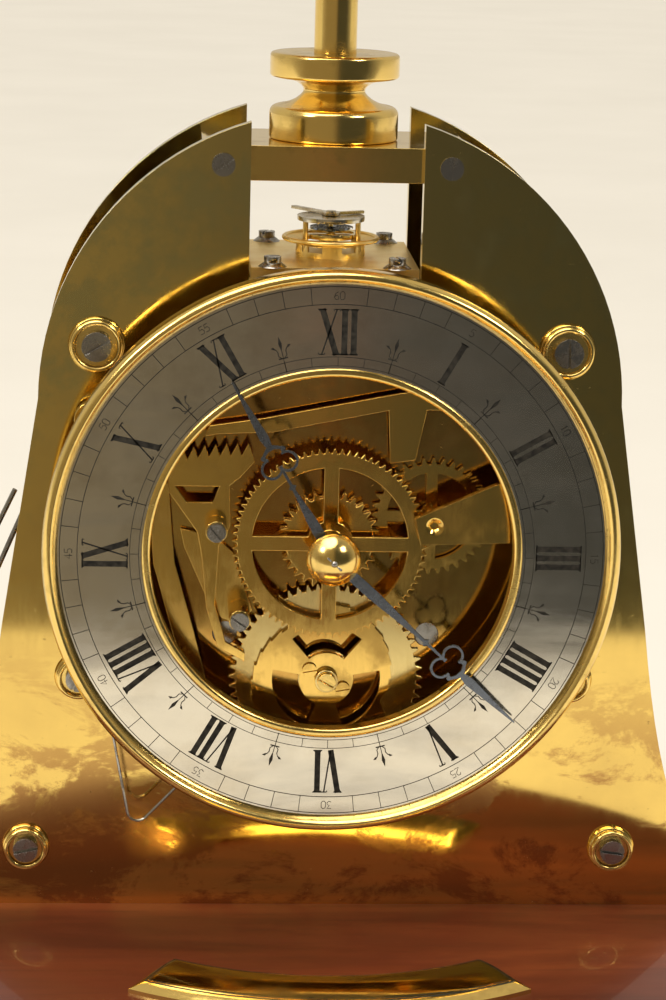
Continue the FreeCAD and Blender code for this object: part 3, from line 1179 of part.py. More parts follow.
def hairspring(depth, low, high):
    inner, pitch, turns, thick = 1.2, 0.55, 6, 0.14
    outer_edge, inner_edge = [], []
    steps = turns * 24
    for index in range(steps + 1):
        angle = 2 * math.pi * index / 24
        radius = inner + pitch * index / 24
        across, back = math.cos(angle), math.sin(angle)
        outer_edge.append(Vector((radius + thick) * across, low, -depth + (radius + thick) * back))
        inner_edge.append(Vector(radius * across, low, -depth + radius * back))
    corners = outer_edge + inner_edge[::-1]
    strip = Part.Face(Part.makePolygon(corners + corners[:1])).extrude(Vector(0, high - low, 0))
    collet = platform_cylinder(0, depth, low - 0.1, high + 0.1, 1.3, 0.5)
    return joined([strip, collet])


def make_escapement(balance_depth, fork_depth, escape_depth, escape_x, low):
    """Pallet lever and escape wheel, hung under the platform on a potence and a bridge."""
    wheel_low, wheel_high = low - 4.6, low - 3.9
    points = []
    teeth, tip, root = 15, number("escape_radius"), number("escape_radius") - 1.1
    for index in range(teeth):
        angle = 2 * math.pi * index / teeth
        points += [(root, angle), (tip, angle + 0.16), (tip, angle + 0.21), (root, angle + 0.22)]
    corners = []
    for reach, angle in points:
        across, back = reach * math.cos(angle), reach * math.sin(angle)
        corners.append(Vector(escape_x + across, wheel_low, -escape_depth + back))
    wheel = Part.Face(Part.makePolygon(corners + corners[:1])).extrude(Vector(0, wheel_high - wheel_low, 0))
    crown_top = number("fourth_up") + number("contrate_radius")
    leaves = upright_pinion(escape_x, escape_depth, crown_top - 2.2, crown_top + 2.2)
    staff = platform_cylinder(escape_x, escape_depth, crown_top - 5.2, low + 1.0, 0.4)
    shape_part("escape_wheel", joined([wheel, leaves, staff]))
    fork_low, fork_high = wheel_low, wheel_high
    pallet_reach = 2.7
    bar = Part.makeBox(2 * pallet_reach, fork_high - fork_low, 0.8,
                       Vector(-pallet_reach, fork_low, -fork_depth - 0.1))
    arms = []
    for side in (-1, 1):
        arms.append(Part.makeBox(0.5, fork_high - fork_low, 1.8,
                                 Vector(side * pallet_reach - 0.25, fork_low, -fork_depth)))
    stem = Part.makeBox(0.7, fork_high - fork_low, balance_depth - fork_depth - 2.3,
                        Vector(-0.35, fork_low, -balance_depth + 2.3))
    horns = Part.makeBox(1.8, fork_high - fork_low, 0.7, Vector(-0.9, fork_low, -balance_depth + 2.2))
    horns = horns.cut(Part.makeBox(0.6, 2.0, 0.5, Vector(-0.3, fork_low - 0.5, -balance_depth + 2.2)))
    staff = platform_cylinder(0, fork_depth, low - 8.2, low + 1.0, 0.4)
    shape_part("pallet_lever", joined([bar, stem, horns, staff] + arms))
    bridge_low, bridge_high = low - 9.4, low - 7.8
    bridge = Part.makeBox(16, bridge_high - bridge_low, 12, Vector(-8, bridge_low, -38.0))
    bridge = bridge.cut(platform_cylinder(0, balance_depth, bridge_low + 0.8, bridge_high, 0.5))
    bridge = bridge.cut(platform_cylinder(0, fork_depth, bridge_low + 0.8, bridge_high, 0.45))
    posts = [platform_cylinder(side * 6.8, 36.0, bridge_high, low, 1.1) for side in (-1, 1)]
    foot = crown_top - 5.6
    side_bar = Part.makeBox(1.6, low - foot, 2.2, Vector(escape_x + 4.9, foot, -escape_depth - 0.8))
    shelf = Part.makeBox(7.9, 1.5, 2.8, Vector(escape_x - 1.4, foot - 0.9, -escape_depth - 1.4))
    pivot_hole = platform_cylinder(escape_x, escape_depth, foot - 0.2, foot + 3, 0.45)
    potence = joined([side_bar, shelf]).cut(pivot_hole)
    shape_part("platform_bridge", Part.makeCompound([joined([bridge] + posts), potence]))


def upright_pinion(x, depth, low, high):
    teeth = SIZES["escape_pinion"]
    module = 2 * number("contrate_radius") / SIZES["crown_teeth"]
    corners = [Vector(x + px, low, -depth + py) for px, py in tooth_points(teeth, module, 0.0, 0.34)]
    return Part.Face(Part.makePolygon(corners + corners[:1])).extrude(Vector(0, high - low, 0))


def make_plate_screws():
    """The small slotted screws of the bar, studs, cock and clicks, once all are placed."""
    shape_part("plate_screws", Part.makeCompound(PLATE_SCREWS))


def check_and_write():
    doc.recompute()
    for thing in doc.Objects:
        if "Invalid" in thing.State or "Error" in thing.State:
            raise RuntimeError("%s did not build: %s" % (thing.Label, thing.State))
    os.makedirs("parts", exist_ok=True)
    for thing in SUBPARTS:
        if thing.Shape.isNull() or not thing.Shape.isValid() or not thing.Shape.Solids:
            raise RuntimeError("%s has no sound solid" % thing.Label)
    for thing in SUBPARTS:
        thing.Shape.exportStep("parts/%s.step" % thing.Label)
        print("%-24s %2d solid(s) %9.1f mm3" % (thing.Label, len(thing.Shape.Solids), thing.Shape.Volume))
    print(len(SUBPARTS), "sub-parts")


make_base()
make_nameplate()
make_plates()
make_pillars()
make_bar()
make_bell_standard()
make_hammer()
make_dial()
make_hands()
make_motion_work()
make_studs()
make_levers()
make_cock()
make_wires()
make_going_train()
make_strike_train()
make_clicks()
make_platform()
make_plate_screws()
check_and_write()
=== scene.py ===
"""Looks of the striking skeleton clock: finishes, engraved dial, lights and camera."""
import json
import math
import bmesh
import bpy
from mathutils import Matrix, Vector


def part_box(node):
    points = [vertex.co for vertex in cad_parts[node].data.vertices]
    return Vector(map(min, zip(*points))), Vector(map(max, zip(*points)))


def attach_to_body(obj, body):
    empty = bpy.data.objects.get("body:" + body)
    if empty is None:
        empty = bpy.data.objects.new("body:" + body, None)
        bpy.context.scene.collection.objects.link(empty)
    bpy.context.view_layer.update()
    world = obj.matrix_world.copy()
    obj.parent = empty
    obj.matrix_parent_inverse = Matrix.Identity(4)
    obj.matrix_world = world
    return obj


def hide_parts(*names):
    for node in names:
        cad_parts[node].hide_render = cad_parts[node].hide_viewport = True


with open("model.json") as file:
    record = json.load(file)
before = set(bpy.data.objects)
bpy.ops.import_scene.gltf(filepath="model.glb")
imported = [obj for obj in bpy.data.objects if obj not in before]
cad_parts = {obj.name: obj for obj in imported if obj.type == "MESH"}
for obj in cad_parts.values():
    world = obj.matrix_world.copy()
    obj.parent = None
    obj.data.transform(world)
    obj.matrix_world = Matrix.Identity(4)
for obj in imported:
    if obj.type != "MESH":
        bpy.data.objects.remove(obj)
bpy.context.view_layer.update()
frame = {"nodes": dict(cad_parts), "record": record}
RECORD = frame["record"]
BODY = {node: body for body, nodes in RECORD["behaviour"]["bodies"].items() for node in nodes}
SLOT = {entry["node"]: entry["material_slot"] for entry in RECORD["subparts"]}
MM = 0.001
DIAL_SHARE = 0.06       # metres: the unit in which near_dial measures
FINE_BUMP = 0.00002     # metres: depth of polishing marks
SAME_POINT = 2e-6       # metres: closer vertices of a CAD mesh are one

ring_low, ring_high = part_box("chapter_ring")
DIAL_X = (ring_low.x + ring_high.x) / 2
DIAL_Z = (ring_low.z + ring_high.z) / 2
DIAL_Y = ring_low.y


# ------------------------------------------------------------------ node trees

def new_material(name):
    made = bpy.data.materials.new(name)
    made.use_nodes = True
    return made, made.node_tree, made.node_tree.nodes["Principled BSDF"]


def add(tree, kind, **settings):
    node = tree.nodes.new("ShaderNode" + kind)
    for key, value in settings.items():
        if hasattr(node, key):
            setattr(node, key, value)
        else:
            node.inputs[key.replace("_", " ")].default_value = value
    return node


def stretched(tree, scale):
    """Object coordinates, stretched so that a texture runs as grain."""
    coords = add(tree, "TexCoord")
    mapping = add(tree, "Mapping", Scale=scale)
    tree.links.new(coords.outputs["Object"], mapping.inputs["Vector"])
    return mapping.outputs["Vector"]


def cloud(tree, scale, stretch=(1, 1, 1), detail=5.0, roughness=0.55, distortion=0.0):
    noise = add(tree, "TexNoise", Scale=scale, Detail=detail, Roughness=roughness, Distortion=distortion)
    tree.links.new(stretched(tree, stretch), noise.inputs["Vector"])
    return noise.outputs["Fac"]


def steps(tree, factor, stops):
    """A ramp from (position, grey or colour) pairs."""
    ramp = add(tree, "ValToRGB")
    while len(ramp.color_ramp.elements) < len(stops):
        ramp.color_ramp.elements.new(0.5)
    for element, (place, colour) in zip(ramp.color_ramp.elements, stops):
        element.position = place
        tone = (colour,) * 3 if isinstance(colour, (int, float)) else colour
        element.color = (*tone, 1.0)
    tree.links.new(factor, ramp.inputs["Fac"])
    return ramp.outputs["Color"]


def maths(tree, operation, first, second):
    node = add(tree, "Math", operation=operation)
    for socket, value in zip(node.inputs, (first, second)):
        if isinstance(value, (int, float)):
            socket.default_value = value
        else:
            tree.links.new(value, socket)
    return node.outputs[0]


def blend_colours(tree, factor, first, second):
    mix = add(tree, "Mix", data_type="RGBA")
    tree.links.new(factor, mix.inputs[0])
    for socket, value in ((mix.inputs[6], first), (mix.inputs[7], second)):
        if isinstance(value, tuple):
            socket.default_value = (*value, 1.0)
        else:
            tree.links.new(value, socket)
    return mix.outputs[2]


def height_band(tree, start, stop):
    """0 below one height and 1 above the other, in metres up the clock."""
    coords = add(tree, "TexCoord")
    split = add(tree, "SeparateXYZ")
    tree.links.new(coords.outputs["Object"], split.inputs["Vector"])
    ranged = add(tree, "MapRange")
    ranged.inputs["From Min"].default_value = start
    ranged.inputs["From Max"].default_value = stop
    tree.links.new(split.outputs["Z"], ranged.inputs["Value"])
    return ranged.outputs["Result"]


def near_dial(tree):
    """Distance from the dial's axis, in units of DIAL_SHARE."""
    coords = add(tree, "TexCoord")
    mapping = add(tree, "Mapping", Location=(-DIAL_X / DIAL_SHARE, 0.0, -DIAL_Z / DIAL_SHARE),
                  Scale=(1 / DIAL_SHARE, 0.0, 1 / DIAL_SHARE))
    tree.links.new(coords.outputs["Object"], mapping.inputs["Vector"])
    length = add(tree, "VectorMath", operation="LENGTH")
    tree.links.new(mapping.outputs["Vector"], length.inputs[0])
    return length.outputs["Value"]


def roughen(tree, shader, fine, low, high, strength, distance):
    """Let one fine texture vary the roughness and raise a slight bump."""
    ranged = add(tree, "MapRange")
    ranged.inputs["To Min"].default_value = low
    ranged.inputs["To Max"].default_value = high
    tree.links.new(fine, ranged.inputs["Value"])
    bump = add(tree, "Bump", Strength=strength, Distance=distance)
    tree.links.new(fine, bump.inputs["Height"])
    tree.links.new(bump.outputs["Normal"], shader.inputs["Normal"])
    return ranged.outputs["Result"]


def metal(name, clean, dull, rough, dull_rough, patch=60.0, cover=(0.50, 0.68), grain=(1, 1, 1),
          fine=900.0, bump=0.05):
    """Worked metal: clean and dulled areas, with fine brushing in one direction."""
    made, tree, shader = new_material(name)
    shader.inputs["Metallic"].default_value = 1.0
    patches = steps(tree, cloud(tree, patch, detail=8.0, roughness=0.62), [(cover[0], 0.0), (cover[1], 1.0)])
    colour = blend_colours(tree, patches, clean, dull)
    tree.links.new(colour, shader.inputs["Base Color"])
    brushed = roughen(tree, shader, cloud(tree, fine, grain, detail=3.0), rough * 0.6, rough * 1.4,
                      bump, FINE_BUMP)
    total = maths(tree, "ADD", brushed, maths(tree, "MULTIPLY", patches, dull_rough - rough))
    tree.links.new(total, shader.inputs["Roughness"])
    return made


def plate_brass(name):
    """Old polished plates: bright, dulled towards the top, with ragged brown stains low down and a painted
    shade, a darker brown tint, on the plate inside the dial ring.
    """
    made, tree, shader = new_material(name)
    shader.inputs["Metallic"].default_value = 1.0
    haze = steps(tree, cloud(tree, 28.0, detail=9.0, roughness=0.65), [(0.40, 0.0), (0.72, 1.0)])
    colour = blend_colours(tree, haze, (0.90, 0.64, 0.18), (0.72, 0.50, 0.15))
    olive = maths(tree, "MULTIPLY", height_band(tree, 0.105, 0.185), 0.75)
    colour = blend_colours(tree, olive, colour, (0.66, 0.53, 0.20))
    mottle = steps(tree, cloud(tree, 75.0, detail=10.0, roughness=0.7), [(0.46, 0.0), (0.60, 1.0)])
    upper = maths(tree, "MULTIPLY", maths(tree, "MULTIPLY", mottle, height_band(tree, 0.09, 0.15)), 0.5)
    colour = blend_colours(tree, upper, colour, (0.42, 0.43, 0.21))
    ragged = cloud(tree, 34.0, (1.0, 1.0, 1.7), detail=12.0, roughness=0.72, distortion=0.4)
    stains = steps(tree, ragged, [(0.50, 0.0), (0.56, 1.0)])
    low_only = steps(tree, height_band(tree, 0.098, 0.045), [(0.10, 0.0), (0.75, 1.0)])
    stains = maths(tree, "MULTIPLY", stains, low_only)
    colour = blend_colours(tree, maths(tree, "MULTIPLY", stains, 0.85), colour, (0.42, 0.21, 0.075))
    freckles = steps(tree, cloud(tree, 420.0, detail=6.0, roughness=0.8), [(0.64, 0.0), (0.70, 1.0)])
    colour = blend_colours(tree, maths(tree, "MULTIPLY", freckles, 0.55), colour, (0.30, 0.20, 0.09))
    # painted shade: inside the dial ring, where the movement lies in shadow, the plate is tinted a darker
    # brown
    behind = steps(tree, near_dial(tree), [(0.0, 1.0), (0.60, 1.0), (0.74, 0.0)])
    painted_dial_shade = steps(tree, cloud(tree, 40.0, detail=8.0, roughness=0.65), [(0.36, 0.35), (0.62, 1.0)])
    painted_dial_shade = maths(tree, "MULTIPLY", maths(tree, "MULTIPLY", behind, painted_dial_shade), 0.80)
    colour = blend_colours(tree, painted_dial_shade, colour, (0.50, 0.24, 0.05))
    tree.links.new(colour, shader.inputs["Base Color"])
    brushed = roughen(tree, shader, cloud(tree, 700.0, (1, 1, 0.12), detail=4.0), 0.04, 0.10,
                      0.03, FINE_BUMP)
    total = maths(tree, "ADD", brushed, maths(tree, "MULTIPLY", stains, 0.12))
    total = maths(tree, "ADD", total, maths(tree, "MULTIPLY", upper, 0.20))
    total = maths(tree, "ADD", total, maths(tree, "MULTIPLY", freckles, 0.25))
    tree.links.new(total, shader.inputs["Roughness"])
    return made


def silvered(name):
    """Silvered brass: a thin white coat, hand rubbed, yellowing where it has worn."""
    made, tree, shader = new_material(name)
    shader.inputs["Metallic"].default_value = 1.0
    wear = steps(tree, cloud(tree, 55.0, detail=9.0, roughness=0.7), [(0.45, 0.0), (0.78, 1.0)])
    colour = blend_colours(tree, wear, (0.74, 0.69, 0.58), (0.56, 0.49, 0.37))
    smears = steps(tree, cloud(tree, 34.0, (0.45, 1.0, 1.6), detail=9.0, roughness=0.6, distortion=0.8),
                   [(0.46, 0.0), (0.66, 1.0)])
    colour = blend_colours(tree, maths(tree, "MULTIPLY", smears, 0.45), colour, (0.48, 0.47, 0.44))
    tree.links.new(colour, shader.inputs["Base Color"])
    rubbed = cloud(tree, 260.0, (0.10, 1.0, 1.0), detail=8.0, roughness=0.7)
    total = roughen(tree, shader, rubbed, 0.05, 0.15, 0.06, FINE_BUMP)
    total = maths(tree, "ADD", total, maths(tree, "MULTIPLY", smears, 0.08))
    tree.links.new(total, shader.inputs["Roughness"])
    return made


def wood(name):
    """French-polished mahogany: long grain with fine pores under a clear coat."""
    made, tree, shader = new_material(name)
    figure = cloud(tree, 26.0, (0.35, 2.2, 2.2), detail=8.0, roughness=0.6, distortion=0.6)
    colour = steps(tree, figure, [(0.30, (0.050, 0.007, 0.003)), (0.52, (0.120, 0.021, 0.007)),
                                  (0.74, (0.20, 0.042, 0.012))])
    pores = steps(tree, cloud(tree, 900.0, (0.045, 1.0, 1.0), detail=3.0), [(0.60, 0.0), (0.72, 1.0)])
    colour = blend_colours(tree, maths(tree, "MULTIPLY", pores, 0.6), colour, (0.055, 0.010, 0.005))
    tree.links.new(colour, shader.inputs["Base Color"])
    shader.inputs["Coat Weight"].default_value = 0.45
    shader.inputs["Coat Roughness"].default_value = 0.06
    total = roughen(tree, shader, cloud(tree, 300.0, (0.1, 1, 1), detail=6.0), 0.28, 0.42, 0.08, 0.00004)
    tree.links.new(total, shader.inputs["Roughness"])
    return made


def ink(name):
    """Black wax in the engraved marks, slightly uneven."""
    made, tree, shader = new_material(name)
    colour = steps(tree, cloud(tree, 800.0, detail=4.0),
                   [(0.35, (0.012, 0.011, 0.010)), (0.75, (0.05, 0.045, 0.035))])
    tree.links.new(colour, shader.inputs["Base Color"])
    shader.inputs["Specular IOR Level"].default_value = 0.15
    uneven = roughen(tree, shader, cloud(tree, 1500.0), 0.55, 0.8, 0.1, FINE_BUMP)
    tree.links.new(uneven, shader.inputs["Roughness"])
    return made


# metal: clean and dulled colour, their roughness, patch scale, patch cover, grain, fine scale, bump
MATERIALS = {
    "plate": plate_brass("plate_brass_patina_and_painted_shade"),
    "brass": metal("polished_brass_aged", (0.88, 0.62, 0.19), (0.62, 0.42, 0.13), 0.09, 0.22, 90.0,
                   bump=0.03),
    "turned": metal("turned_brass", (0.90, 0.65, 0.21), (0.64, 0.45, 0.14), 0.17, 0.32, 150.0, (0.52, 0.72),
                    (0.25, 0.25, 3.0), 1400.0, 0.05),
    "wheel": metal("wheel_brass", (0.88, 0.59, 0.16), (0.60, 0.38, 0.10), 0.10, 0.24, 120.0, (0.46, 0.70),
                   (3.0, 1.0, 0.3), 1100.0, 0.05),
    # a paler copy of the wheel brass; on the snail wheel its lighter colour is painted light, standing for
    # the brighter reflection of the pale floor low in the movement
    "pale": metal("wheel_brass_pale", (0.90, 0.71, 0.30), (0.74, 0.54, 0.21), 0.16, 0.30, 110.0, (0.46, 0.70),
                  (3.0, 1.0, 0.3), 1100.0, 0.05),
    "bright": metal("bright_steel", (0.66, 0.61, 0.50), (0.46, 0.41, 0.32), 0.20, 0.36, 260.0, (0.44, 0.66),
                    (4.0, 1.0, 0.4), 1300.0, 0.06),
    "gilt": metal("frosted_gilding", (0.95, 0.74, 0.32), (0.86, 0.62, 0.22), 0.34, 0.42, 130.0, (0.42, 0.70),
                  (1, 1, 1), 2600.0, 0.18),
    "steel": metal("grey_steel", (0.42, 0.41, 0.39), (0.24, 0.22, 0.20), 0.18, 0.38, 260.0, (0.44, 0.66),
                   (4.0, 1.0, 0.4), 1300.0, 0.06),
    "blued": metal("blued_steel", (0.20, 0.225, 0.27), (0.13, 0.13, 0.15), 0.24, 0.40, 240.0, (0.50, 0.72),
                   (1.0, 1.0, 1.0), 1500.0, 0.06),
    "bell": metal("bell_metal", (0.84, 0.62, 0.30), (0.60, 0.42, 0.19), 0.12, 0.26, 45.0, (0.45, 0.72),
                  (0.3, 0.3, 4.0), 1200.0, 0.06),
    "silver": silvered("silvered_dial"),
    "wood": wood("french_polished_mahogany"),
    "ink": ink("engraving_wax"),
}


# ------------------------------------------------------------------ mesh helpers

def piece_from(name, points, faces, material, smooth=30.0):
    mesh = bpy.data.meshes.new(name)
    mesh.from_pydata([tuple(point) for point in points], [], faces)
    mesh.validate()
    mesh.materials.append(MATERIALS[material])
    made = bpy.data.objects.new(name, mesh)
    bpy.context.scene.collection.objects.link(made)
    if smooth:
        for polygon in mesh.polygons:
            polygon.use_smooth = True
        mesh.set_sharp_from_angle(angle=math.radians(smooth))
    return made


def attach(made, body, slot, *nodes):
    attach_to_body(made, body)
    if nodes:
        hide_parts(*nodes)
    return made


def cleaned(node):
    """A CAD node's own surface with its triangles gathered back into whole faces."""
    work = bmesh.new()
    work.from_mesh(frame["nodes"][node].data)
    bmesh.ops.remove_doubles(work, verts=work.verts, dist=SAME_POINT)
    bmesh.ops.dissolve_limit(work, angle_limit=math.radians(0.6), verts=work.verts, edges=work.edges)
    work.verts.ensure_lookup_table()
    points = [vertex.co.copy() for vertex in work.verts]
    faces = [[vertex.index for vertex in face.verts] for face in work.faces]
    work.free()
    return points, faces


def dress(node, material, bevel, angle=32.0, segments=2):
    """The CAD piece again, with its sharp edges eased by hand as a maker would."""
    points, faces = cleaned(node)
    made = piece_from(node + "_finish", points, faces, material, smooth=50)
    if bevel:
        eased = made.modifiers.new("eased", "BEVEL")
        eased.width = bevel * MM
        eased.segments = segments
        eased.limit_method = "ANGLE"
        eased.angle_limit = math.radians(angle)
        eased.use_clamp_overlap = True
    level = made.modifiers.new("level", "WEIGHTED_NORMAL")
    level.mode = "FACE_AREA"
    level.weight = 100
    level.keep_sharp = not bevel
    depsgraph = bpy.context.evaluated_depsgraph_get()
    finished = bpy.data.meshes.new_from_object(made.evaluated_get(depsgraph))
    made.modifiers.clear()
    made.data = finished
    return attach(made, BODY[node], SLOT[node], node)


def arc_points(cx, cz, radius, start, stop, count=8):
    """Points of a profile arc, angles in degrees from outward."""
    made = []
    for index in range(count + 1):
        angle = math.radians(start + (stop - start) * index / count)
        made.append((cx + radius * math.cos(angle), cz + radius * math.sin(angle)))
    return made


def smooth_line(points, steps_each=6):
    """A Catmull-Rom line through profile points, for mouldings."""
    whole = [points[0]] + list(points) + [points[-1]]
    made = []
    for index in range(1, len(whole) - 2):
        a, b, c, d = whole[index - 1:index + 3]
        for part in range(steps_each):
            t = part / steps_each
            made.append(tuple(0.5 * (2 * b[k] + (c[k] - a[k]) * t
                                     + (2 * a[k] - 5 * b[k] + 4 * c[k] - d[k]) * t * t
                                     + (3 * b[k] - a[k] - 3 * c[k] + d[k]) * t ** 3) for k in (0, 1)))
    made.append(points[-1])
    return made


def lathe_mesh(profile, centre, axis="Z", segments=96, closed=True):
    """A turned form's points and faces; the profile is (radius, height) in mm, the centre in metres."""
    points, faces = [], []
    count = len(profile)
    for index in range(segments):
        angle = 2 * math.pi * index / segments
        for radius, height in profile:
            flat = (radius * MM * math.cos(angle), radius * MM * math.sin(angle))
            if axis == "Z":
                points.append(Vector((centre[0] + flat[0], centre[1] + flat[1], centre[2] + height * MM)))
            else:
                points.append(Vector((centre[0] + flat[0], centre[1] - height * MM, centre[2] + flat[1])))
    spans = count if closed else count - 1
    for index in range(segments):
        after = (index + 1) % segments
        for span in range(spans):
            nearby = (span + 1) % count
            face = [index * count + span, after * count + span,
                    after * count + nearby, index * count + nearby]
            faces.append(face if axis == "Z" else face[::-1])
    return points, faces


def weld(points, faces):
    """Merge the coincident points that a profile leaves on its axis."""
    work = bmesh.new()
    made = [work.verts.new(point) for point in points]
    for face in faces:
        if len(set(face)) > 2:
            work.faces.new([made[index] for index in face])
    bmesh.ops.remove_doubles(work, verts=work.verts, dist=1e-7)
    bmesh.ops.recalc_face_normals(work, faces=work.faces)
    work.verts.index_update()
    points = [vertex.co.copy() for vertex in work.verts]
    faces = [[vertex.index for vertex in face.verts] for face in work.faces]
    work.free()
    return points, faces


def turned_piece(name, profile, centre, material, axis="Z", segments=96, smooth=35.0, closed=True):
    points, faces = weld(*lathe_mesh(profile, centre, axis, segments, closed))
    return piece_from(name, points, faces, material, smooth)


# ------------------------------------------------------------------ dial engraving

class Engraving:
    """Flat marks on the dial, in mm: across is clockwise along the ring and out is from its middle."""

    def __init__(self, lift=0.03):
        self.points, self.faces, self.lift = [], [], lift

    def place(self, degrees, across, out):
        turn = math.radians(degrees)
        x = out * math.sin(turn) + across * math.cos(turn)
        up = out * math.cos(turn) - across * math.sin(turn)
        return Vector((DIAL_X + x * MM, DIAL_Y - self.lift * MM, DIAL_Z + up * MM))

    def shape(self, degrees, corners):
        start = len(self.points)
        self.points += [self.place(degrees, across, out) for across, out in corners]
        self.faces.append(list(range(start, len(self.points))))

    def stroke(self, degrees, path, widths):
        """A line of varying width through local points."""
        left, right = [], []
        for index, (across, out) in enumerate(path):
            before, after = path[max(index - 1, 0)], path[min(index + 1, len(path) - 1)]
            dx, dy = after[0] - before[0], after[1] - before[1]
            length = math.hypot(dx, dy) or 1.0
            half = widths[min(index, len(widths) - 1)] / 2
            left.append((across - dy / length * half, out + dx / length * half))
            right.append((across + dy / length * half, out - dx / length * half))
        for index in range(len(path) - 1):
            self.shape(degrees, [left[index], left[index + 1], right[index + 1], right[index]])

    def circle(self, radius, width, count=360):
        for index in range(count):
            first, second = 360.0 * index / count, 360.0 * (index + 1) / count
            start = len(self.points)
            for degrees, out in ((first, radius - width / 2), (first, radius + width / 2),
                                 (second, radius + width / 2), (second, radius - width / 2)):
                self.points.append(self.place(degrees, 0.0, out))
            self.faces.append([start, start + 1, start + 2, start + 3])


# radii and widths on the dial, in mm
MINUTE_INNER, MINUTE_OUTER, MINUTE_LINE = 51.0, 54.5, 0.15
QUARTER_INNER, QUARTER_OUTER, QUARTER_LINE = 38.75, 40.55, 0.12
NUMERAL_LOW, NUMERAL_HIGH = 40.9, 50.1
FINE_STROKE = 0.14
DIGIT_FOOT, DIGIT_ROOM, DIGIT_GROWTH = 51.95, 1.15, 1.05
LETTER_ROOM = {"I": 1.85, "V": 3.95, "X": 4.15}
HOURS = ["XII", "I", "II", "III", "IIII", "V", "VI", "VII", "VIII", "IX", "X", "XI"]


def draw_letter(marks, degrees, letter, middle):
    low, high, thick, thin = NUMERAL_LOW, NUMERAL_HIGH, 1.16, 0.30

    def serif(at, out, half):
        inward = 0.12 if out == low else -0.12
        marks.stroke(degrees, [(at - half, out + inward), (at + half, out + inward)], [0.24])
        for side in (-1, 1):
            edge = at + side * thick * 0.45
            marks.shape(degrees, [(edge, out + inward * 2), (edge + side * 0.3, out + inward),
                                  (edge, out + inward * 5)])

    if letter == "I":
        marks.stroke(degrees, [(middle, low), (middle, high)], [thick])
        serif(middle, low, 0.9)
        serif(middle, high, 0.9)
    elif letter == "V":
        marks.stroke(degrees, [(middle - 1.35, high), (middle + 0.28, low)], [thick])
        marks.stroke(degrees, [(middle + 1.5, high), (middle + 0.30, low + 0.2)], [thin])
        serif(middle - 1.35, high, 0.85)
        serif(middle + 1.5, high, 0.6)
    else:
        marks.stroke(degrees, [(middle - 1.45, high), (middle + 1.45, low)], [thick])
        marks.stroke(degrees, [(middle + 1.45, high), (middle - 1.45, low)], [thin])
        serif(middle - 1.45, high, 0.85)
        serif(middle + 1.45, low, 0.85)
        serif(middle + 1.45, high, 0.6)
        serif(middle - 1.45, low, 0.6)


def draw_numeral(marks, degrees, letters):
    across = -sum(LETTER_ROOM[letter] for letter in letters) / 2
    for letter in letters:
        draw_letter(marks, degrees, letter, across + LETTER_ROOM[letter] / 2)
        across += LETTER_ROOM[letter]


def draw_fleur(marks, degrees):
    """The half-hour mark: a stem from the inner track, two curled leaves and a spearhead."""
    marks.stroke(degrees, [(0, 38.6), (0, 42.9)], [0.16])
    marks.stroke(degrees, [(-0.95, 41.5), (0.95, 41.5)], [0.26])
    marks.shape(degrees, [(0, 42.6), (0.36, 44.5), (0.0, 46.0), (-0.36, 44.5)])
    for side in (-1, 1):
        marks.stroke(degrees, [(side * 0.35, 41.6), (side * 0.85, 42.1), (side * 0.80, 42.9),
                               (side * 1.15, 43.6)], [FINE_STROKE, 0.2, 0.2, FINE_STROKE])
        marks.shape(degrees, [(side * 1.0, 43.35), (side * 1.55, 43.55), (side * 2.05, 43.95),
                              (side * 1.45, 44.05)])


# strokes of the minute figures, in mm from each figure's lower left corner
DIGITS = {
    "0": [[(0.0, 0.3), (0.25, 0.0), (0.65, 0.0), (0.9, 0.3), (0.9, 1.2), (0.65, 1.5), (0.25, 1.5),
           (0.0, 1.2), (0.0, 0.3)]],
    "1": [[(0.2, 1.15), (0.5, 1.5), (0.5, 0.0)]],
    "2": [[(0.05, 1.15), (0.25, 1.5), (0.7, 1.5), (0.9, 1.15), (0.75, 0.75), (0.0, 0.0), (0.95, 0.0)]],
    "3": [[(0.0, 1.5), (0.85, 1.5), (0.4, 0.9), (0.8, 0.7), (0.85, 0.3), (0.5, 0.0), (0.0, 0.2)]],
    "4": [[(0.65, 0.0), (0.65, 1.5), (0.0, 0.5), (0.95, 0.5)]],
    "5": [[(0.85, 1.5), (0.15, 1.5), (0.05, 0.85), (0.6, 0.95), (0.9, 0.5), (0.65, 0.05), (0.0, 0.1)]],
    "6": [[(0.8, 1.45), (0.3, 1.2), (0.0, 0.5), (0.3, 0.0), (0.75, 0.05), (0.85, 0.55), (0.5, 0.85),
           (0.1, 0.6)]],
}


def draw_count(marks, degrees, text):
    across = -len(text) * DIGIT_ROOM / 2
    for digit in text:
        for line in DIGITS[digit]:
            marks.stroke(degrees, [(across + 0.1 + x, DIGIT_FOOT + y * DIGIT_GROWTH) for x, y in line],
                         [FINE_STROKE])
        across += DIGIT_ROOM


def engrave_dial():
    marks = Engraving()
    for radius in (MINUTE_INNER, MINUTE_OUTER):
        marks.circle(radius, MINUTE_LINE)
    for radius in (QUARTER_INNER, QUARTER_OUTER):
        marks.circle(radius, QUARTER_LINE)
    for minute in range(60):
        if minute % 5:
            marks.stroke(minute * 6.0, [(0, MINUTE_INNER), (0, MINUTE_OUTER)], [FINE_STROKE])
        else:
            draw_count(marks, minute * 6.0, str(minute or 60))
    for quarter in range(48):
        marks.stroke(quarter * 7.5, [(0, QUARTER_INNER), (0, QUARTER_OUTER)], [QUARTER_LINE])
    for hour, letters in enumerate(HOURS):
        draw_numeral(marks, hour * 30.0, letters)
        draw_fleur(marks, hour * 30.0 + 15.0)
    made = piece_from("dial_engraving", marks.points, marks.faces, "ink", smooth=0)
    attach(made, BODY["chapter_ring"], "silvered")


# ------------------------------------------------------------------ turned pieces

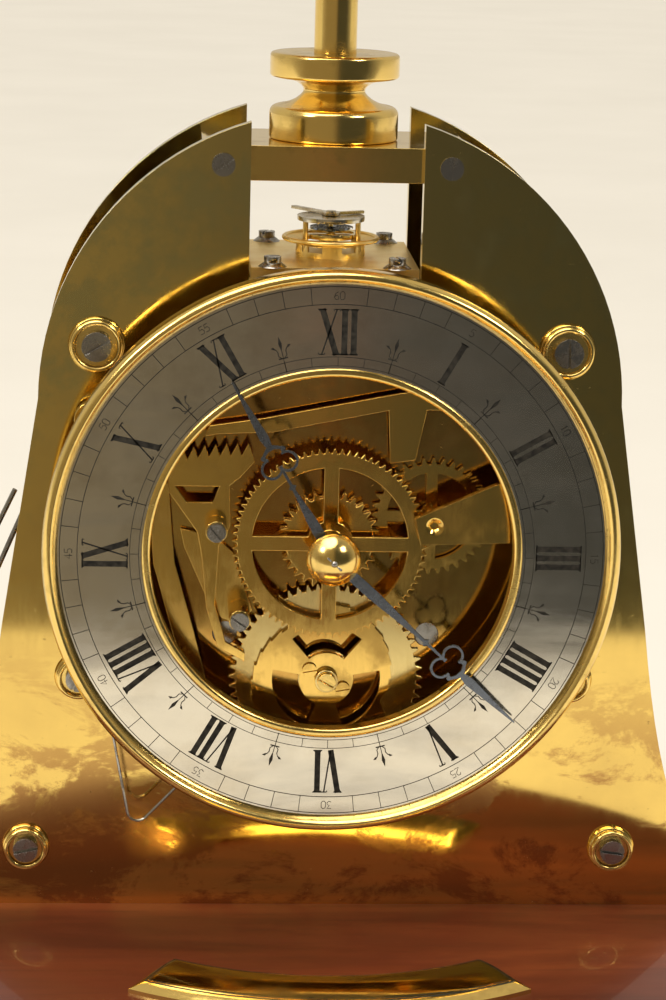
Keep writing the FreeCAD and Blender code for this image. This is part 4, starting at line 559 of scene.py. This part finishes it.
def make_collar():
    """The moulded collar at the foot of the upright rod."""
    low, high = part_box("standard_collar")
    tube = (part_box("bell_standard")[1].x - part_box("bell_standard")[0].x) / 2 / MM
    radius, tall = (high.x - low.x) / 2 / MM, (high.z - low.z) / MM
    neck = smooth_line([(radius - 1.6, tall * 0.385), (radius - 3.6, tall * 0.415), (tube + 3.6, tall * 0.46),
                        (tube + 2.2, tall * 0.53), (tube + 2.1, tall * 0.59), (tube + 3.4, tall * 0.655),
                        (radius - 3.4, tall * 0.695), (radius - 1.2, tall * 0.715)])
    profile = ([(tube, 0.0), (radius - 0.5, 0.0)] + arc_points(radius - 0.5, 0.5, 0.5, -80, 0, 4)
               + arc_points(radius - 1.6, tall * 0.295, 1.6, 0, 85, 8) + neck
               + arc_points(radius - 0.7, tall * 0.755, 0.7, -80, 0, 5)
               + arc_points(radius - 0.8, tall - 0.8, 0.8, 0, 90, 6)
               + [(tube + 0.5, tall), (tube, tall - 0.15)])
    made = turned_piece("standard_collar_finish", profile, (0, 0, low.z), "turned", smooth=40)
    attach(made, BODY["standard_collar"], SLOT["standard_collar"], "standard_collar")


def make_plinth():
    """The moulded wooden base, with its top flat where the clock stands."""
    low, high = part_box("base_plinth")
    radius, tall = (high.x - low.x) / 2 / MM, (high.z - low.z) / MM
    profile = ([(0.0, 0.0), (radius - 2.2, 0.0)] + arc_points(radius - 1.6, 1.6, 1.6, -90, 0, 6)
               + arc_points(radius - 3.2, tall * 0.24, 3.2, 0, 80, 10)
               + smooth_line([(radius - 3.1, tall * 0.37), (radius - 4.1, tall * 0.46),
                              (radius - 3.6, tall * 0.58), (radius - 2.3, tall * 0.67),
                              (radius - 1.4, tall * 0.72)])
               + arc_points(radius - 3.6, tall - 2.6, 2.4, 0, 90, 10)[:-1]
               + [(radius - 3.6, tall), (radius * 0.6, tall), (0.0, tall)])
    made = turned_piece("base_plinth_finish", profile, (0, 0, low.z), "wood", segments=192, smooth=40,
                        closed=False)
    attach(made, BODY["base_plinth"], SLOT["base_plinth"], "base_plinth")


def make_bell():
    """The bell, with a hole for its screw in the crown."""
    low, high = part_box("bell")
    mouth, deep = (high.x - low.x) / 2 / MM, (high.z - low.z) / MM
    wall, hole = 1.6, 2.5
    outside = smooth_line([(mouth, 0.0), (mouth * 0.945, deep * 0.16), (mouth * 0.90, deep * 0.38),
                           (mouth * 0.85, deep * 0.60), (mouth * 0.70, deep * 0.85),
                           (mouth * 0.42, deep * 0.975), (hole, deep)], 8)
    inside = smooth_line([(hole, deep - wall), (mouth * 0.36, deep - wall * 1.15),
                          (mouth * 0.64, deep * 0.80), (mouth * 0.80, deep * 0.53),
                          (mouth * 0.86, deep * 0.25), (mouth - wall, 0.0)], 8)
    made = turned_piece("bell_finish", outside + inside, (0, 0, low.z), "bell", segments=144, smooth=50)
    attach(made, BODY["bell"], SLOT["bell"], "bell")


def make_dome():
    """The brass cap over the hands, with the steel arbor end and its taper pin."""
    low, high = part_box("hand_collet")
    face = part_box("minute_hand")[0].y
    radius = (high.x - low.x) / 2 / MM
    rise, bore = 3.3, 2.5
    ball = (radius ** 2 + rise ** 2) / (2 * rise)
    sweep = math.degrees(math.asin(radius / ball))
    cap = arc_points(0.0, 0.55 + rise - ball, ball, 90 - sweep, 90, 20)
    profile = ([(bore, 0.0), (radius - 0.15, 0.0), (radius, 0.15), (radius, 0.5)] + cap
               + [(0.0, 0.4), (bore, 0.4)])
    made = turned_piece("hand_cap", profile, (DIAL_X, face, DIAL_Z), "turned", axis="Y", smooth=40)
    attach(made, BODY["hand_collet"], SLOT["hand_collet"], "hand_collet")
    tip = (face - low.y) / MM
    shank = 0.72
    nib = [(0.0, rise), (shank, rise), (shank, tip - 0.5), (0.55, tip - 0.2), (0.25, tip - 0.02),
           (0.0, tip)]
    made = turned_piece("hand_arbor_end", nib, (DIAL_X, face, DIAL_Z), "steel", axis="Y", segments=32,
                        smooth=40, closed=False)
    attach(made, BODY["hand_collet"], SLOT["rack_hook"])
    along = Vector((0.74, 0.0, -0.67)).normalized()
    side = along.cross(Vector((0, 1, 0)))
    points, faces = [], []
    sides = 12
    stations = ((-1.9, 0.16), (-1.8, 0.22), (1.9, 0.27), (2.0, 0.18))
    centre = Vector((DIAL_X, face - (tip - 0.62) * MM, DIAL_Z))
    for index, (step, half) in enumerate(stations):
        for corner in range(sides):
            angle = math.pi * corner / 6
            ring = side * math.cos(angle) + Vector((0, 1, 0)) * math.sin(angle)
            points.append(centre + along * step * MM + ring * half * MM)
        if index:
            first, second = (index - 1) * sides, index * sides
            for corner in range(sides):
                after = (corner + 1) % sides
                faces.append([first + corner, second + corner, second + after, first + after])
    last = (len(stations) - 1) * sides
    faces += [list(range(sides)), list(range(last, last + sides))[::-1]]
    made = piece_from("taper_pin", points, faces, "steel", 40)
    attach(made, BODY["hand_collet"], SLOT["rack_hook"])


def make_washers():
    """Turned cup washers under the pillar screws, one for each loose part of the CAD node."""
    front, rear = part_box("front_plate")[0].y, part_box("back_plate")[1].y
    bore = 1.55
    work = bmesh.new()
    work.from_mesh(frame["nodes"]["pillar_washers"].data)
    bmesh.ops.remove_doubles(work, verts=work.verts, dist=SAME_POINT)
    seen, rings = set(), []
    for vertex in work.verts:
        if vertex in seen:
            continue
        island, queue = [], [vertex]
        seen.add(vertex)
        while queue:
            spot = queue.pop()
            island.append(spot.co.copy())
            for edge in spot.link_edges:
                other = edge.other_vert(spot)
                if other not in seen:
                    seen.add(other)
                    queue.append(other)
        low = Vector([min(point[k] for point in island) for k in range(3)])
        high = Vector([max(point[k] for point in island) for k in range(3)])
        rings.append((low, high))
    work.free()
    points, faces = [], []
    for low, high in rings:
        x, z = (low.x + high.x) / 2, (low.z + high.z) / 2
        radius, tall = (high.x - low.x) / 2 / MM, (high.y - low.y) / MM
        profile = ([(bore, 0.0), (radius, 0.0), (radius, 0.35)]
                   + arc_points(radius - 0.45, 0.75, 0.22, 0, 90, 4)
                   + smooth_line([(radius - 0.75, 1.05), (radius - 0.55, 1.45),
                                  (radius - 0.5, tall - 0.6)], 5)
                   + arc_points(radius - 1.05, tall - 0.55, 0.55, 0, 180, 10)
                   + [(radius - 1.65, tall - 0.9), (bore, tall - 0.95)])
        on_front = low.y < (front + rear) / 2
        flat = front if on_front else rear
        some, some_faces = lathe_mesh(profile, (x, flat, z), "Y", 64)
        if not on_front:
            some = [Vector((point.x, 2 * flat - point.y, point.z)) for point in some]
            some_faces = [face[::-1] for face in some_faces]
        start = len(points)
        points += some
        faces += [[index + start for index in face] for face in some_faces]
    made = piece_from("pillar_washers_finish", points, faces, "turned", 40)
    attach(made, BODY["pillar_washers"], SLOT["pillar_washers"], "pillar_washers")


def make_nameplate():
    """The blank nameplate: a curved, slightly domed brass strip with an engraved double border."""
    low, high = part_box("nameplate")
    outer, tall = -low.y / MM, (high.z - low.z) / MM
    deep, half, edge = 17.0, 31.5, 0.9     # mm across the strip, degrees each way, mm at the rim
    line_lift, in_degrees = 0.025, 57.3    # mm above the metal; degrees for one radian

    def surface(spot, share):
        """Height of the domed top at an angle and at a share of the strip's depth."""
        across = min(1.0, (1.0 - abs(spot) / half) * 14.0)
        inward = min(1.0, share * 5.5, (1.0 - share) * 5.5)
        slope = math.sin(min(across, inward) * math.pi / 2)
        return edge + (tall - 0.06 - edge) * (0.55 * slope + 0.45 * slope * math.sin(share * math.pi))

    def spot_at(spot, share, lift=0.0):
        reach = outer - deep * share
        turn = math.radians(spot)
        height = low.z + (surface(spot, share) + lift) * MM
        return Vector((reach * math.sin(turn) * MM, -reach * math.cos(turn) * MM, height))

    bends, rows = 64, 22
    points, faces = [], []
    for column in range(bends + 1):
        ease = math.sin(math.pi / 2 * (2.0 * column / bends - 1.0))
        for row in range(rows + 1):
            share = 0.5 - 0.5 * math.cos(math.pi * row / rows)
            points.append(spot_at(half * ease, share))
    wide = rows + 1
    for column in range(bends):
        for row in range(rows):
            first = column * wide + row
            faces.append([first, first + wide, first + wide + 1, first + 1])
    rim = [column * wide for column in range(bends + 1)]
    rim += [bends * wide + row for row in range(1, wide)]
    rim += [column * wide + rows for column in range(bends - 1, -1, -1)]
    rim += list(range(rows - 1, 0, -1))
    start = len(points)
    points += [Vector((points[index].x, points[index].y, low.z)) for index in rim]
    for index in range(len(rim)):
        after = (index + 1) % len(rim)
        faces.append([rim[index], start + index, start + after, rim[after]])
    made = piece_from("nameplate_finish", *weld(points, faces), "brass", 50)
    attach(made, BODY["nameplate"], SLOT["nameplate"], "nameplate")

    points, faces = [], []
    long_steps, short_steps = 96, 24
    for inset, width in ((0.135, 0.014), (0.175, 0.007)):
        for near, far in ((inset, inset + width), (1 - inset - width, 1 - inset)):
            start = len(points)
            reach = half - inset * deep / outer * in_degrees
            for column in range(long_steps + 1):
                spot = reach * (2.0 * column / long_steps - 1.0)
                points += [spot_at(spot, near, line_lift), spot_at(spot, far, line_lift)]
            for column in range(long_steps):
                first = start + column * 2
                faces.append([first, first + 2, first + 3, first + 1])
        for side in (-1, 1):
            start = len(points)
            reach = half - inset * deep / outer * in_degrees
            narrow = reach - width * deep / outer * in_degrees
            for row in range(short_steps + 1):
                share = inset + (1 - 2 * inset) * row / short_steps
                points += [spot_at(side * reach, share, line_lift),
                           spot_at(side * narrow, share, line_lift)]
            for row in range(short_steps):
                first = start + row * 2
                faces.append([first, first + 1, first + 3, first + 2])
    made = piece_from("nameplate_border", points, faces, "ink", smooth=0)
    attach(made, BODY["nameplate"], SLOT["nameplate"])


def gild_posts():
    """The three posts under the balance cock are gilt, and only its disc is steel."""
    cock = bpy.data.objects["balance_cock_finish"]
    cock.data.materials.append(MATERIALS["gilt"])
    steel_depth = 2.1 * MM
    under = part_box("balance_cock")[1].z - steel_depth
    for polygon in cock.data.polygons:
        if polygon.center.z < under:
            polygon.material_index = 1


# each node's material, and how far its sharp edges are eased, in mm
FINISHES = {
    "front_plate": ("plate", 0.30), "back_plate": ("plate", 0.30), "top_bar": ("brass", 0.35),
    "frame_pillars": ("turned", 0.2), "bell_standard": ("turned", 0.2), "bell_nut": ("turned", 0.2),
    "base_feet": ("turned", 0.0),
    "hammer_bracket": ("wheel", 0.15), "bell_hammer": ("steel", 0.15),
    "chapter_ring": ("silver", 0.08), "outer_bezel": ("turned", 0.3), "inner_bezel": ("turned", 0.2),
    "dial_feet": ("turned", 0.15), "hour_hand": ("blued", 0.10), "minute_hand": ("blued", 0.10),
    # the snail wheel takes the pale copy of the wheel brass: painted light for its brighter reflection
    "cannon_wheel": ("wheel", 0.07), "minute_wheel": ("wheel", 0.08), "hour_wheel": ("wheel", 0.12),
    "snail_wheel": ("pale", 0.10), "snail_cam": ("wheel", 0.12), "front_studs": ("turned", 0.12),
    "rack": ("wheel", 0.10), "rack_hook": ("wheel", 0.10), "lifting_lever": ("wheel", 0.10),
    "repeat_lever": ("wheel", 0.10), "minute_cock": ("wheel", 0.15), "wire_spring": ("steel", 0.0),
    "repeat_wire": ("steel", 0.0), "going_barrel": ("wheel", 0.08), "strike_barrel": ("wheel", 0.08),
    "going_winding_arbor": ("steel", 0.08), "strike_winding_arbor": ("steel", 0.08),
    "centre_wheel": ("wheel", 0.08), "third_wheel": ("wheel", 0.07), "contrate_wheel": ("wheel", 0.06),
    "pin_wheel": ("wheel", 0.07), "warning_wheel": ("wheel", 0.06), "fly": ("wheel", 0.06),
    "going_click": ("steel", 0.10), "strike_click": ("steel", 0.10), "platform_plate": ("gilt", 0.30),
    "platform_screws": ("steel", 0.10), "balance_dish": ("gilt", 0.08), "balance_wheel": ("pale", 0.05),
    "hairspring": ("blued", 0.0), "balance_cock": ("bright", 0.10), "index_lever": ("bright", 0.06),
    "escape_wheel": ("gilt", 0.03), "pallet_lever": ("steel", 0.03), "platform_bridge": ("gilt", 0.12),
    "plate_screws": ("steel", 0.10), "pillar_screws": ("steel", 0.14),
    "going_mainspring": ("steel", 0.0), "strike_mainspring": ("steel", 0.0),
}

for node, (material, bevel) in FINISHES.items():
    dress(node, material, bevel)
gild_posts()
make_collar()
make_plinth()
make_bell()
make_dome()
make_washers()
make_nameplate()
engrave_dial()


# ------------------------------------------------------------------ floor, lights and camera

def make_floor():
    """A pale table top; its front edge sets where the polished plates turn from light to dark."""
    made, tree, shader = new_material("pale_floor")
    colour = steps(tree, cloud(tree, 6.0, detail=4.0),
                   [(0.3, (0.765, 0.74, 0.685)), (0.7, (0.80, 0.775, 0.72))])
    tree.links.new(colour, shader.inputs["Base Color"])
    rough = roughen(tree, shader, cloud(tree, 900.0), 0.55, 0.75, 0.05, 0.0001)
    tree.links.new(rough, shader.inputs["Roughness"])
    front, back, half_width, lip = -0.335, 8.0, 4.0, 0.02
    line = [(front, -lip), (front, 0.0), (0.5, 0.0), (2.0, 0.0), (back, 0.0)]
    points = [(side * half_width, y, z) for y, z in line for side in (-1, 1)]
    faces = [[index * 2, index * 2 + 1, index * 2 + 3, index * 2 + 2] for index in range(len(line) - 1)]
    mesh = bpy.data.meshes.new("floor")
    mesh.from_pydata(points, [], faces)
    mesh.materials.append(made)
    floor = bpy.data.objects.new("floor", mesh)
    bpy.context.scene.collection.objects.link(floor)


def make_world():
    """A pale studio behind the clock and a darker room in front of it, as polished brass needs."""
    world = bpy.data.worlds.new("studio")
    bpy.context.scene.world = world
    world.use_nodes = True
    tree = world.node_tree
    background = tree.nodes["Background"]
    coords = add(tree, "TexCoord")
    split = add(tree, "SeparateXYZ")
    tree.links.new(coords.outputs["Generated"], split.inputs["Vector"])
    sideways = add(tree, "MapRange")
    sideways.inputs["From Min"].default_value = -0.1
    sideways.inputs["From Max"].default_value = 0.3
    tree.links.new(split.outputs["X"], sideways.inputs["Value"])
    room = steps(tree, sideways.outputs["Result"], [
        (0.10, (0.27, 0.22, 0.145)), (0.25, (0.20, 0.165, 0.11)), (0.365, (0.135, 0.115, 0.085)),
        (0.385, (0.27, 0.19, 0.12)), (0.40, (0.24, 0.11, 0.075)), (0.42, (0.090, 0.085, 0.072)),
        (0.75, (0.060, 0.060, 0.054))])
    shade = add(tree, "MapRange")
    shade.inputs["From Min"].default_value = -0.55
    shade.inputs["From Max"].default_value = 0.15
    tree.links.new(split.outputs["Y"], shade.inputs["Value"])
    around = blend_colours(tree, shade.outputs["Result"], room, (0.58, 0.53, 0.44))
    seen = add(tree, "LightPath")
    colour = blend_colours(tree, seen.outputs["Is Camera Ray"], around, (0.871, 0.799, 0.672))
    tree.links.new(colour, background.inputs["Color"])
    background.inputs["Strength"].default_value = 1.0


def area_light(name, spot, target, size, power, colour=(1.0, 0.95, 0.88)):
    data = bpy.data.lights.new(name, "AREA")
    data.shape = "RECTANGLE"
    data.size, data.size_y = size
    data.energy = power
    data.color = colour
    made = bpy.data.objects.new(name, data)
    bpy.context.scene.collection.objects.link(made)
    made.location = spot
    made.rotation_euler = (Vector(target) - Vector(spot)).to_track_quat("-Z", "Y").to_euler()


def sky_light(toward, strength, spread):
    """One broad, even light over the whole floor."""
    data = bpy.data.lights.new("sky", "SUN")
    data.energy = strength
    data.angle = math.radians(spread)
    data.color = (1.0, 0.955, 0.88)
    made = bpy.data.objects.new("sky", data)
    bpy.context.scene.collection.objects.link(made)
    made.rotation_euler = Vector(toward).to_track_quat("Z", "Y").to_euler()


def make_camera():
    """The photograph's viewpoint, fitted to the dial's circles and the plates' corners."""
    turn, drop, roll = math.radians(3.658), math.radians(13.857), math.radians(1.550)
    ahead = Vector((math.sin(turn) * math.cos(drop), math.cos(turn) * math.cos(drop), -math.sin(drop)))
    right = Vector((math.cos(turn), -math.sin(turn), 0.0))
    up = right.cross(ahead)
    across = right * math.cos(roll) + up * math.sin(roll)
    above = up * math.cos(roll) - right * math.sin(roll)
    data = bpy.data.cameras.new("camera")
    data.lens, data.sensor_width = 97.64, 36.0
    data.clip_start, data.clip_end = 0.01, 20.0
    camera = bpy.data.objects.new("camera", data)
    bpy.context.scene.collection.objects.link(camera)
    eye = (-0.0337, -0.5584, 0.2559)
    camera.matrix_world = Matrix((
        (across.x, above.x, -ahead.x, eye[0]), (across.y, above.y, -ahead.y, eye[1]),
        (across.z, above.z, -ahead.z, eye[2]), (0.0, 0.0, 0.0, 1.0)))
    bpy.context.scene.camera = camera


make_floor()
make_world()
sky_light((-0.25, -0.30, 1.0), 2.3, 50.0)
CLOCK_MIDDLE, SOFT_BOX, SOFT_POWER = (0.0, 0.0, 0.12), (0.32, 0.32), 6.0
area_light("left_box", (-0.95, -0.75, 0.95), CLOCK_MIDDLE, SOFT_BOX, SOFT_POWER)
area_light("right_box", (0.80, -0.80, 1.00), CLOCK_MIDDLE, SOFT_BOX, SOFT_POWER)
make_camera()
bpy.context.scene.view_settings.view_transform = "Standard"
